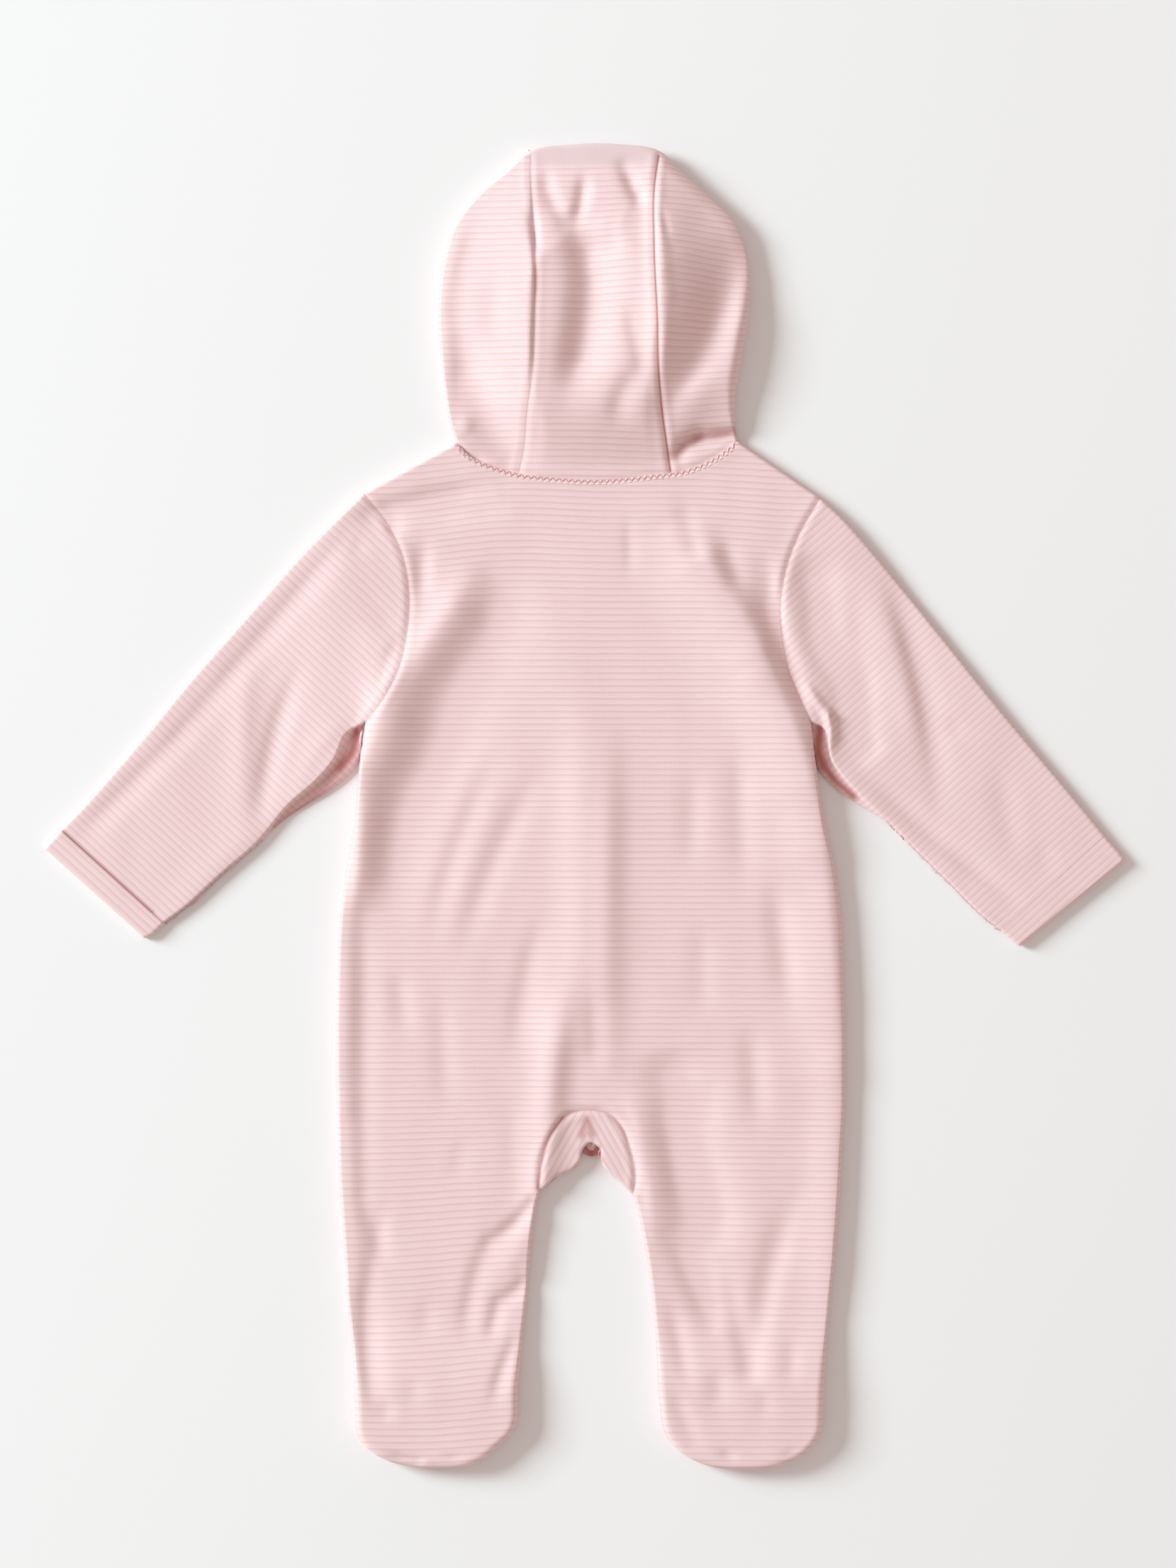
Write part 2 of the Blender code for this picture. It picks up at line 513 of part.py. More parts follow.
def lower_layer(plan, flags, lift, outward):
    """Outer face of the front, held up by `lift` along the overlap.

    It comes down to the floor on the side named by `outward`, -1 or 1.
    """
    rise = edge_rise(plan, flags, LOWER_OUTLINES)
    beyond = outward * placket_offset(plan) - PLACKET_HALF
    held = lift * (1.0 - ease(beyond / PLACKET_SLOPE)) * between_levels(plan[..., 1], PLACKET_LAND)
    rim = LOWER_SEAM - LOWER_CORNER * near_corner(plan)
    return with_height(plan, rim * (1.0 - rise) + held)


def front_left_layer(plan, flags):
    return lower_layer(plan, flags, PLACKET_OUTER, -1.0)


def front_right_layer(plan, flags):
    return lower_layer(plan, flags, PLACKET_INNER, 1.0)


def hood_share(plan):
    """0 along the neck seam, 1 where the hood has its full height."""
    neck = np.interp(plan[..., 0], NECK_BACK_LINE[:, 0], NECK_BACK_LINE[:, 1])
    return ease((plan[..., 1] - neck) / HOOD_RISE)


def hood_upper(plan):
    share = hood_share(plan)
    edge = UPPER_SEAM + (HOOD_EDGE - UPPER_SEAM) * share
    reach = ROLL + (HOOD_ROLL - ROLL) * share
    top = UPPER_HEIGHT + (HOOD_HEIGHT - UPPER_HEIGHT) * share + relief(plan)
    rise = folded(distance_to(HOOD_OUTLINES, plan), reach)
    return with_height(plan, edge + (top - edge) * rise)


def hood_lower(plan):
    edge = LOWER_SEAM + (HOOD_EDGE - LOWER_SEAM) * hood_share(plan)
    return with_height(plan, edge * (1.0 - folded(distance_to(HOOD_OUTLINES, plan), ROLL)))


# ---------------------------------------------------------------- sheets of points
def spread(length, count, outer_steps, outer_weight, inner_steps, inner_weight):
    """Distances of the columns from the outer end: even, or set by the steps at either end."""
    even = np.linspace(0.0, length, count)
    rest = count - len(outer_steps) + 1
    outer = np.concatenate([outer_steps, np.linspace(outer_steps[-1], length, rest)[1:]])
    rest = count - len(inner_steps) + 1
    inner = length - np.concatenate([inner_steps, np.linspace(inner_steps[-1], length, rest)[1:]])
    places = (1 - outer_weight) * (1 - inner_weight) * even
    places += outer_weight * (1 - inner_weight) * outer
    places += (1 - outer_weight) * inner_weight * inner[::-1]
    if outer_weight * inner_weight == 0:
        return places
    rest = count - len(outer_steps) - len(inner_steps) + 2
    middle = np.linspace(outer_steps[-1], length - inner_steps[-1], rest)[1:-1]
    both = np.concatenate([outer_steps, middle, length - inner_steps[::-1]])
    return places + outer_weight * inner_weight * both


def lap_steps(point, run):
    """Columns beside the overlap's edge at `point`, for a row with the direction `run`."""
    nearest = np.argmin(np.hypot(*(PLACKET_LINE[1:-1] - point).T)) + 1
    tangent = PLACKET_LINE[nearest + 1] - PLACKET_LINE[nearest - 1]
    slant = abs(run[0] * tangent[1] - run[1] * tangent[0]) / math.hypot(*tangent)
    half = distance_to([PLACKET_LINE], point[None])[0]
    first = max(2 * half + LAP_MARGIN, LAP_NARROWEST)
    return np.array([0.0, first, first + LAP_NEXT]) / slant


def loft(outer, inner, outer_fold, inner_fold, stations, count, corners=(), lap=None):
    """Plan points and flags of a sheet whose rows run from the outer line to the inner one.

    `lap` names the end, "outer" or "inner", that is an edge of the front overlap.
    """
    knots = run_lengths(inner)
    stations = np.minimum(stations, knots[-1])
    starts = through(knots, outer, stations)
    ends = through(knots, inner, stations, corners)
    plan = np.zeros((len(stations), count, 2))
    flags = np.zeros((len(stations), count), dtype=int)
    for row, station in enumerate(stations):
        fold_out = np.interp(station, knots, outer_fold)
        fold_in = np.interp(station, knots, inner_fold)
        length = math.hypot(*(ends[row] - starts[row]))
        run = (ends[row] - starts[row]) / length
        outer_end = (ROLL_STEPS, fold_out)
        inner_end = (ROLL_STEPS, fold_in)
        if lap == "outer":
            outer_end = (lap_steps(starts[row], run), 1.0)
        if lap == "inner":
            inner_end = (lap_steps(ends[row], run), 1.0)
        plan[row] = starts[row] + spread(length, count, *outer_end, *inner_end)[:, None] * run
        if fold_out > 0.999:
            flags[row, :2] = (1, 2)
        if fold_in > 0.999:
            flags[row, -2:] = (2, 1)
    return plan, flags


def body_half(outer, inner, outer_fold, top, shoulder, stations, count, lap=None):
    """A part of the body from its top row down.

    `top` holds the points of the top row; its first `shoulder` steps are a folded edge, and
    the others a seam.
    """
    fixed = np.zeros(len(inner))
    steps = len(NECK_STEPS)
    seam_rows = np.concatenate([NECK_STEPS, stations])
    fold_rows = np.concatenate([ROLL_STEPS, stations])
    plan, flags = loft(outer, inner, outer_fold, fixed, seam_rows, count, lap=lap)
    rolled, _ = loft(outer, inner, outer_fold, fixed, fold_rows, count, lap=lap)
    reach = np.repeat(seam_rows[:, None], count, axis=1)
    if shoulder:
        plan[:steps, :shoulder + 1] = rolled[:steps, :shoulder + 1]
        reach[:steps, :shoulder + 1] = ROLL_STEPS[:, None]
        flags[0, :shoulder + 1] = 1
        flags[1, :shoulder + 1] = 2
    bow = top - plan[0]
    plan += bow[None] * (1.0 - ease(reach / BOW_REACH))[..., None]
    return plan, flags


def top_row(tip, neck_line, neck_x, shoulder, count):
    """The shoulder from its tip to the neck line's first point, then the neck seam to neck_x."""
    along = np.linspace(0.0, 1.0, shoulder + 1)[:-1, None]
    shares = np.linspace(0.0, 1.0, count - shoulder) ** NECK_CROWDING
    neck = stretch_of(neck_line, neck_line[0, 0], neck_x, shares)
    return np.concatenate([tip + along * (neck_line[0] - tip), neck])


def body_stations(inner, underarm, lower_rows):
    """Rows below the neck rows: some to the underarm, the close ones there, the rest below."""
    knots = run_lengths(inner)
    level = knots[underarm]
    close = level - np.array(UNDERARM_ROWS)
    upper = np.linspace(NECK_STEPS[-1], close[0], UPPER_ROWS + 2)[1:-1]
    lower = np.linspace(level, knots[-1], lower_rows + 1)
    return np.concatenate([upper, close, lower])


def leg_stations(inner, low_rows):
    """Two rows a section along the arch, close ones at the gusset's end, even ones below."""
    knots = run_lengths(inner)
    first, last = GUSSET_CORNERS
    arch = np.interp(np.arange(0, 2 * first) / 2, np.arange(len(knots)), knots)
    across = np.interp(first + CROSSING_ROWS, np.arange(len(knots)), knots)
    turn = knots[last] + TURN_ROWS
    low = np.linspace(turn[-1], knots[-1], low_rows + 1)[1:]
    return np.concatenate([arch, across, turn, low])


def toe_rays(first, outline, rays):
    """Rows that turn round a toe: `first` runs from the outline to the middle of the foot."""
    centre = first[-1]
    length = math.hypot(*(first[0] - centre))
    depth = np.hypot(*(first - first[0]).T)
    inner_share = (depth[len(ROLL_STEPS) - 1:] - ROLL) / (length - ROLL)
    plan = [first]
    for edge in at_share(outline, np.linspace(0.0, 1.0, rays))[1:]:
        run = centre - edge
        ray = math.hypot(*run)
        at = np.concatenate([ROLL_STEPS[:-1], ROLL + inner_share * (ray - ROLL)])
        plan.append(edge + (at / ray)[:, None] * run)
    plan = np.array(plan)
    flags = np.zeros(plan.shape[:2], dtype=int)
    flags[:, :2] = (1, 2)
    return plan, flags


# ---------------------------------------------------------------- meshes
def add_sheet(bm, points):
    """A grid of faces whose vertices take the places points[row, column]."""
    rows, columns = points.shape[:2]
    made = bmesh.ops.create_grid(bm, x_segments=columns - 1, y_segments=rows - 1, size=1.0)
    for vert in made["verts"]:
        column = round((vert.co.x + 1.0) / 2.0 * (columns - 1))
        row = round((vert.co.y + 1.0) / 2.0 * (rows - 1))
        vert.co = points[row, column]


def cloth_material(name, colour, roughness):
    material = bpy.data.materials.new(name)
    material.use_nodes = True
    shader = material.node_tree.nodes["Principled BSDF"]
    shader.inputs["Base Color"].default_value = (*colour, 1.0)
    shader.inputs["Roughness"].default_value = roughness
    shader.inputs["Metallic"].default_value = 0.0
    material.diffuse_color = (*colour, 1.0)
    return material


def finish_object(name, bm, collection, colour, roughness):
    mesh = bpy.data.meshes.new(name)
    bm.to_mesh(mesh)
    bm.free()
    item = bpy.data.objects.new(name, mesh)
    collection.objects.link(item)
    mesh.materials.append(cloth_material(name + "_material", colour, roughness))
    return item


def cloth_piece(name, sheets, collection, colour, wall=WALL):
    """Join the sheets to one open surface, face it outwards and thicken it inwards."""
    bm = bmesh.new()
    for points in sheets:
        add_sheet(bm, points)
    bmesh.ops.remove_doubles(bm, verts=bm.verts, dist=MERGE)
    bmesh.ops.recalc_face_normals(bm, faces=bm.faces)
    largest = max(bm.faces, key=lambda face: abs(face.normal.z) * face.calc_area())
    faces_up = largest.calc_center_median().z > UPPER_SEAM
    if (largest.normal.z > 0) != faces_up:
        bmesh.ops.reverse_faces(bm, faces=bm.faces)
    item = finish_object(name, bm, collection, CLOTH[colour], CLOTH_ROUGHNESS)
    solidify = item.modifiers.new("wall", "SOLIDIFY")
    solidify.thickness = wall
    solidify.offset = -1.0
    solidify.use_even_offset = False
    solidify.use_quality_normals = True
    solidify.use_rim = True
    return item


# ---------------------------------------------------------------- the body
def body_sections(armhole, side, from_row):
    """Points and fold weights of a half's outer line: an armhole, then the side below it."""
    points = np.concatenate([pairs(armhole), pairs(side)[from_row:]])
    fold = np.zeros(len(points))
    fold[len(armhole["x"]) - 1:] = 1
    return points, fold


def leg_sheet(leg, outer, layer, count, low_rows, lap=None):
    inner = pairs(leg, "in_x", "in_y")
    fold = np.full(len(inner), 0.0 if lap else 1.0)
    stations = leg_stations(inner, low_rows)
    plan, flags = loft(outer, inner, fold, leg["in_fold"], stations, count, GUSSET_CORNERS, lap)
    return plan, layer(plan, flags)


def full_toe(last_row, toe, layer):
    """The whole toe below a leg's last row, from its outer side to its inner side."""
    half = len(last_row) // 2
    plan, flags = toe_rays(last_row[:half + 1], smooth_line(pairs(toe), 200), TOE_RAYS)
    return layer(plan, flags)


def build_back(collection):
    """The back, and the plan of its two armholes for the sleeves."""
    middle = pairs(BACK_MIDDLE)
    stations = body_stations(middle, UNDERARM, BACK_LOWER_ROWS)
    sheets = []
    armholes = []
    for side, leg, toe, neck in (
            (BACK_LEFT, LEG_LEFT, TOE_LEFT, NECK_BACK_LINE),
            (BACK_RIGHT, LEG_RIGHT, TOE_RIGHT, NECK_BACK_LINE[::-1])):
        outer = pairs(side)
        top = top_row(outer[0], neck, middle[0, 0], BACK_SHOULDER, BACK_COLUMNS)
        plan, flags = body_half(outer, middle, side["fold"], top, BACK_SHOULDER, stations,
                                BACK_COLUMNS)
        sheets.append(upper_layer(plan, flags))
        armholes.append(plan[1:ROWS_TO_UNDERARM, 0])
        leg_plan, leg_points = leg_sheet(leg, pairs(leg, "out_x", "out_y"), upper_layer,
                                         BACK_COLUMNS, LEG_ROWS)
        sheets.append(leg_points)
        sheets.append(full_toe(leg_plan[-1], toe, upper_layer))
    cloth_piece("back", sheets, collection, "back")
    return armholes


def placket_edge(side):
    """The overlap's edge on one side of its middle line, narrowing to a seam at the foot."""
    share = between_levels(PLACKET_LINE[:, 1], PLACKET_NARROW)
    half = PLACKET_HALF * share - PLACKET_FOOT_GAP / 2 * (1.0 - share)
    return moved_left(PLACKET_LINE, side * half[:, None])


def on_edge(edge, levels):
    """Points of a line that runs down, at the given levels."""
    return np.column_stack([np.interp(-levels, -edge[:, 1], edge[:, 0]), levels])


def build_front_left(collection):
    """From the wearer's left side to the outer edge of the overlap, in one sheet to the toe."""
    outer, fold = body_sections(FRONT_ARMHOLE_LEFT, BACK_LEFT, FRONT_UNDERARM + 1)
    leg = pairs(LEG_LEFT, "out_x", "out_y")[2:]
    outer = np.concatenate([outer, leg])
    fold = np.concatenate([fold, np.ones(len(leg))])
    edge = placket_edge(1.0)
    inner = on_edge(edge, outer[:, 1])
    stations = body_stations(inner, FRONT_UNDERARM - 1, SIDE_LOWER_ROWS)
    top = top_row(outer[0], NECK_FRONT_LINE, edge[0, 0], FRONT_SHOULDER, FRONT_COLUMNS)
    plan, flags = body_half(outer, inner, fold, top, FRONT_SHOULDER, stations, FRONT_COLUMNS,
                            "inner")
    toe = smooth_line(pairs(TOE_LEFT), 200)
    outer_toe = stretch_of(toe, toe[0, 0], edge[-1, 0], np.linspace(0.0, 1.0, 100))
    toe_plan, toe_flags = toe_rays(plan[-1], outer_toe, TOE_RAYS // 2)
    sheets = [front_left_layer(plan, flags), front_left_layer(toe_plan, toe_flags)]
    cloth_piece("front_left", sheets, collection, "front")
    return plan[1:ROWS_TO_UNDERARM, 0]


def build_front_right(collection):
    """The rest of the front: right half, right leg, and the left leg inside the overlap."""
    outer, fold = body_sections(FRONT_ARMHOLE_RIGHT, BACK_RIGHT, FRONT_UNDERARM + 1)
    split = smooth_line(pairs(SPLIT_LINE))
    share = (outer[0, 1] - outer[:, 1]) / (outer[0, 1] - outer[-1, 1])
    inner = on_edge(split, split[0, 1] + share * (split[-1, 1] - split[0, 1]))
    stations = body_stations(inner, FRONT_UNDERARM - 1, FRONT_LOWER_ROWS)
    neck = NECK_FRONT_LINE[::-1]
    top = top_row(outer[0], neck, split[0, 0], FRONT_SHOULDER, FRONT_COLUMNS)
    plan, flags = body_half(outer, inner, fold, top, FRONT_SHOULDER, stations, FRONT_COLUMNS)
    sheets = [front_right_layer(plan, flags)]
    edge = placket_edge(-1.0)
    middle_outer = on_edge(edge, outer[:, 1])
    neck_length = math.hypot(*(split[0] - edge[0]))
    lap = lap_steps(edge[0], np.array([1.0, 0.0]))
    shares = spread(neck_length, MIDDLE_COLUMNS, lap, 1.0, ROLL_STEPS, 0.0) / neck_length
    middle_top = stretch_of(NECK_FRONT_LINE, edge[0, 0], split[0, 0], shares)
    middle_plan, middle_flags = body_half(middle_outer, inner, np.zeros(len(inner)), middle_top,
                                          0, stations, MIDDLE_COLUMNS, "outer")
    sheets.append(front_right_layer(middle_plan, middle_flags))
    right_outer = pairs(LEG_RIGHT, "out_x", "out_y")
    right_plan, right_points = leg_sheet(LEG_RIGHT, right_outer, front_right_layer,
                                         FRONT_COLUMNS, PLAIN_LEG_ROWS)
    sheets.append(right_points)
    sheets.append(full_toe(right_plan[-1], TOE_RIGHT, front_right_layer))
    left_plan, left_points = leg_sheet(LEG_LEFT, on_edge(edge, LEG_LEFT["out_y"]),
                                       front_right_layer, MIDDLE_COLUMNS, LEG_ROWS, "outer")
    sheets.append(left_points)
    toe = smooth_line(pairs(TOE_LEFT), 200)
    inner_toe = stretch_of(toe, toe[-1, 0], edge[-1, 0], np.linspace(0.0, 1.0, 100))
    toe_plan, toe_flags = toe_rays(left_plan[-1, ::-1], inner_toe, TOE_RAYS // 2)
    sheets.append(front_right_layer(toe_plan, toe_flags))
    cloth_piece("front_right", sheets, collection, "front")
    return plan[1:ROWS_TO_UNDERARM, 0]


def build_gusset(collection):
    """Folded over the crotch edge, from the back's arch seam to the front's."""
    arches = []
    crotches = []
    for leg, crotch in ((LEG_LEFT, CROTCH_LEFT), (LEG_RIGHT, CROTCH_RIGHT)):
        inner = pairs(leg, "in_x", "in_y")
        knots = run_lengths(inner)
        stations = leg_stations(inner, 1)
        stations = stations[stations <= knots[GUSSET_CORNERS[0]] + MERGE]
        arches.append(through(knots, inner, stations, GUSSET_CORNERS))
        numbers = np.interp(stations, knots, np.arange(len(knots)))
        crotch_at = np.arange(len(crotch["x"]), dtype=float)
        crotches.append(through(crotch_at, pairs(crotch), numbers))
    arch = moved_left(np.concatenate([arches[0][::-1], arches[1][1:]]), -CURVED_GAP)
    crotch = np.concatenate([crotches[0][::-1], crotches[1][1:]])
    for end, beside in ((0, 1), (-1, -2)):
        run = crotch[beside] - crotch[end]
        crotch[end] += run / math.hypot(*run) * GUSSET_END_GAP * CURVED_GAP
    upper = []
    lower = []
    for seam, edge in zip(arch, crotch):
        run = seam - edge
        length = math.hypot(*run)
        at = np.concatenate([ROLL_STEPS[1:], np.linspace(ROLL, length, GUSSET_COLUMNS)[1:]])
        row = edge + (at / length)[:, None] * run
        upper.append(row[::-1])
        lower.append(row[1:])
    upper = np.array(upper)
    lower = np.array(lower)
    above = upper_layer(upper, np.zeros(upper.shape[:2], dtype=int))
    below = front_right_layer(lower, np.zeros(lower.shape[:2], dtype=int))
    cloth_piece("crotch_gusset", [np.concatenate([above, below], axis=1)], collection, "gusset")


# ---------------------------------------------------------------- sleeves and cuffs
def ring_row(upper, lip_edge, lower_edge, top_shares, under_shares):
    """Plan of one ring: over the top, out to the lip, and back beneath."""
    top = upper + top_shares[:, None] * (lower_edge - upper)
    lip = lower_edge + LIP["share"][:, None] * (lip_edge - lower_edge)
    under = lip_edge + under_shares[:, None] * (upper - lip_edge)
    return top, lip, under


def armhole_gap(armhole):
    """The gap beside an armhole, opening a little towards the underarm."""
    left = run_lengths(armhole)[-1] - run_lengths(armhole)
    gap = CURVED_GAP + (UNDERARM_GAP - CURVED_GAP) * (1.0 - ease(left / UNDERARM_OPENING))
    return gap[:, None]


def build_sleeve(name, sleeve, armhole, front_armhole, side, collection):
    """A tube from the armhole to the cuff, lying flat."""
    seam = moved_left(armhole, side * armhole_gap(armhole))
    front_seam = moved_left(front_armhole, side * armhole_gap(front_armhole))
    tip = 0.5 * (seam[0] + front_seam[0])
    seam[0] = tip
    front_seam[0] = tip
    top_shares = run_lengths(seam) / run_lengths(seam)[-1]
    under_shares = (1.0 - run_lengths(front_seam) / run_lengths(front_seam)[-1])[::-1]
    sections = through(np.arange(len(sleeve["up_x"]), dtype=float),
                       np.column_stack(list(sleeve.values())),
                       SLEEVE_ROWS)
    reach = run_lengths(sections)
    rows = []
    for number, section in enumerate(sections):
        upper, lower_edge, lip_edge = section[:2], section[2:4], section[4:]
        if number == 0:
            upper, lower_edge, lip_edge = tip, seam[-1], front_seam[-1]
        top, lip, under = ring_row(upper, lip_edge, lower_edge, top_shares, under_shares)
        if number == 0:
            top_bow = seam - top
            under_bow = front_seam[::-1] - under
        fade = 1.0 - ease(reach[number] / SLEEVE_BOW_REACH)
        top = top + top_bow * fade
        under = under + under_bow * fade
        stepped = min(1.0, math.hypot(*(lip_edge - lower_edge)) / LIP_FULL)
        above = upper_layer(top, np.zeros(len(top), dtype=int))
        lip_height = LIP["plain"] + stepped * (LIP["stepped"] - LIP["plain"])
        roll = ROLL + stepped * (LIP_ROLL - ROLL)
        rise = folded(distance_to(LOWER_OUTLINES, under), roll)
        beneath = with_height(under, lip_height[-1] * (1.0 - rise))
        near_top = distance_to(SHOULDERS, under) < ROLL
        plain = LOWER_SEAM * (1.0 - folded(distance_to(SHOULDERS, under), ROLL))
        beneath[:, 2] = np.where(near_top, plain, beneath[:, 2])
        beneath[-1] = above[0]
        rows.append(np.concatenate([above, with_height(lip, lip_height)[:-1], beneath]))
    cloth_piece(name, [np.array(rows)], collection, "sleeve")


def build_cuff(name, cuff, collection):
    """The doubled band: a ring a little larger than the sleeve."""
    sections = np.column_stack(list(cuff.values()))
    axis = 0.5 * (sections[-1, :2] + sections[-1, 2:] - sections[0, :2] - sections[0, 2:])
    axis /= math.hypot(*axis)
    sections[0] += np.tile(axis, 2) * SEAM_GAP
    rows = []
    for section in sections:
        upper, lower = section[:2], section[2:]
        length = math.hypot(*(lower - upper))
        steps = spread(length, CUFF_COLUMNS, ROLL_STEPS, 1.0, ROLL_STEPS, 1.0)[1:-1] / length
        across = upper + steps[:, None] * (lower - upper)
        rise = folded(np.minimum(steps, 1.0 - steps) * length, ROLL)
        edge = 0.5 * (UPPER_HEIGHT + BAND_STEP)
        above = with_height(across, edge + edge * rise)
        beneath = with_height(across[::-1], edge - edge * rise[::-1])
        rows.append(np.concatenate([above, beneath[1:]]))
    cloth_piece(name, [np.array(rows)], collection, "cuff", BAND_WALL)


# ---------------------------------------------------------------- the hood
def on_hood_edge(numbers):
    """Points of the hood's outline, by the number of the edge point counted from the left."""
    stations = np.interp(numbers, np.arange(len(HOOD_EDGE_KNOTS)), HOOD_EDGE_KNOTS)
    return through(HOOD_EDGE_KNOTS, HOOD_EDGE_POINTS, stations)


def build_hood_side(name, hood, edge_numbers, corner, collection):
    """From the centre strip over the outline, and beneath to the face opening."""
    neck = moved_left(NECK_BACK_LINE, CURVED_GAP)
    front_neck = moved_left(NECK_FRONT_LINE, FRONT_NECK_GAP)
    sections = np.column_stack(list(hood.values()))
    first_up = stretch_of(neck, sections[0, 0], neck[corner, 0], HOOD_UP)
    first_low = stretch_of(front_neck, neck[corner, 0], sections[0, 4], HOOD_UNDER)
    first_low[0] = first_up[-1]
    level = through(np.arange(len(sections), dtype=float), sections, HOOD_ROWS)
    level[:, 2:4] = on_hood_edge(edge_numbers)
    level[0] = [*first_up[0], *first_up[-1], *first_low[-1]]
    rows = []
    climb = run_lengths(level[:, 2:4])
    for number, section in enumerate(level):
        seam, edge, face = section[:2], section[2:4], section[4:]
        up = seam + HOOD_UP[:, None] * (edge - seam)
        low = edge + HOOD_UNDER[:, None] * (face - edge)
        if number == 0:
            up_bow = first_up - up
            low_bow = first_low - low
        fade = 1.0 - ease(climb[number] / HOOD_BOW_REACH)
        above = hood_upper(up + up_bow * fade)
        beneath = hood_lower(low + low_bow * fade)
        rows.append(np.concatenate([above, beneath[1:]]))
    cloth_piece(name, [np.array(rows)], collection, "hood")
    return level


def build_hood_centre(left, right, collection):
    """From the neck over the crown to the forehead edge on the underside."""
    neck = moved_left(NECK_BACK_LINE, CURVED_GAP)
    shift = np.array([SEAM_GAP, 0.0])
    across = CENTRE_ACROSS
    first = stretch_of(neck, left[0, 0] + SEAM_GAP, right[0, 0] - SEAM_GAP, across[:, 0])
    crown = stretch_of(HOOD_OUTLINES[0], left[-1, 2] + SEAM_GAP, right[-1, 2] - SEAM_GAP,
                       across[:, 0])
    rows = []
    climb = run_lengths(left[:, :2])
    for number in range(len(left)):
        start = left[number, :2] + shift
        end = right[number, :2] - shift
        row = start + across * (end - start)
        if number == 0:
            neck_bow = first - row
        crown_bow = crown - (crown[0] + across * (crown[-1] - crown[0]))
        near_neck = 1.0 - ease(climb[number] / HOOD_BOW_REACH)
        near_crown = 1.0 - ease((climb[-1] - climb[number]) / HOOD_BOW_REACH)
        rows.append(hood_upper(row + neck_bow * near_neck + crown_bow * near_crown))
    last = rows[-1][:, :2]
    for share in CROWN_OVER:
        rows.append(hood_upper(last + share * (crown - last)))
    brow = np.column_stack([crown[:, 0], np.full(len(crown), FOREHEAD)])
    for share in CROWN_UNDER:
        rows.append(hood_lower(crown + share * (brow - crown)))
    cloth_piece("hood_centre", [np.array(rows)], collection, "hood")


# ---------------------------------------------------------------- the studs
def build_studs(collection):
    line_length = run_lengths(PLACKET_LINE)[-1]
    places = at_share(PLACKET_LINE, (STUD_FIRST + STUD_PITCH * np.arange(STUD_COUNT)) / line_length)
    for number, (x, y) in enumerate(places, start=1):
        bm = bmesh.new()
        bmesh.ops.create_cone(bm, cap_ends=True, cap_tris=False, segments=STUD_SIDES,
                              radius1=STUD_RADIUS, radius2=STUD_RADIUS, depth=STUD_THICK)
        bmesh.ops.translate(bm, verts=bm.verts, vec=(x, y, STUD_THICK / 2))
        finish_object(f"press_stud_{number}", bm, collection, STUD_COLOUR, STUD_ROUGHNESS)


def main():
    for item in list(bpy.data.objects):
        bpy.data.objects.remove(item, do_unlink=True)
    collection = bpy.data.collections.new("footed_sleepsuit")
    bpy.context.scene.collection.children.link(collection)
    left_armhole, right_armhole = build_back(collection)
    left_front_armhole = build_front_left(collection)
    right_front_armhole = build_front_right(collection)
    build_gusset(collection)
    build_sleeve("sleeve_left", SLEEVE_LEFT, left_armhole, left_front_armhole, -1, collection)
    build_sleeve("sleeve_right", SLEEVE_RIGHT, right_armhole, right_front_armhole, 1, collection)
    build_cuff("cuff_left", CUFF_LEFT, collection)
    build_cuff("cuff_right", CUFF_RIGHT, collection)
    last_edge = len(HOOD_EDGE_POINTS) - 1
    left = build_hood_side("hood_left", HOOD_LEFT, HOOD_ROWS, 0, collection)
    right = build_hood_side("hood_right", HOOD_RIGHT, last_edge - HOOD_ROWS, -1, collection)
    build_hood_centre(left, right, collection)
    build_studs(collection)


main()
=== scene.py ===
"""Looks of a hooded, footed baby sleepsuit that lies flat on its front.

Each cloth piece is a thin shell laid on its solid's form: a grid of points in the plan, raised
by the folded edges, the seams and the creases. The wearer's left is at -X, the head at +Y.
"""
import math

import bmesh
import bpy
import numpy as np
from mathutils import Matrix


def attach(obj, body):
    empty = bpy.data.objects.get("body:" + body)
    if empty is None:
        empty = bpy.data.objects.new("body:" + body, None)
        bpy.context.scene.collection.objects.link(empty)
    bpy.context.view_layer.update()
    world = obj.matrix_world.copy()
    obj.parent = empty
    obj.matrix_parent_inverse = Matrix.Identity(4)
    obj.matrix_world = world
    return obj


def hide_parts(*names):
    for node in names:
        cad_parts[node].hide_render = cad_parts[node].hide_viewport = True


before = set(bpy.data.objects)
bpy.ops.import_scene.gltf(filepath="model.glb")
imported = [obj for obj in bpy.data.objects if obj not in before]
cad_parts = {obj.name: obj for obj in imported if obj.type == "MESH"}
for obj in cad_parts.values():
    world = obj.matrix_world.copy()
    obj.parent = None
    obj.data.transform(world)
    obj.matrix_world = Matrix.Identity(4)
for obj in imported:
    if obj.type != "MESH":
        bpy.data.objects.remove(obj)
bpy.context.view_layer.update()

# ---------- sizes, in metres
MM = 0.001
CLOTH_THICK = 0.0011          # one layer of interlock
BAND_THICK = 0.0019           # the doubled cuff band
SEAM_GAP = 0.000006           # between two pieces sewn together along a straight seam
CURVED_GAP = 0.00001          # and along a curved one
FRONT_NECK_GAP = 0.0004       # between the front and the hood, on the underside
PLACKET_FOOT_GAP = 0.0008     # between the two fronts, below the end of their overlap
MERGE = 0.000002              # points nearer than this are one point
TINY = 1e-9                   # a step shorter than this has no direction
TINY_SQUARE = 1e-12
WHOLE_FOLD = 0.999            # an edge with at least this share of a fold counts as folded

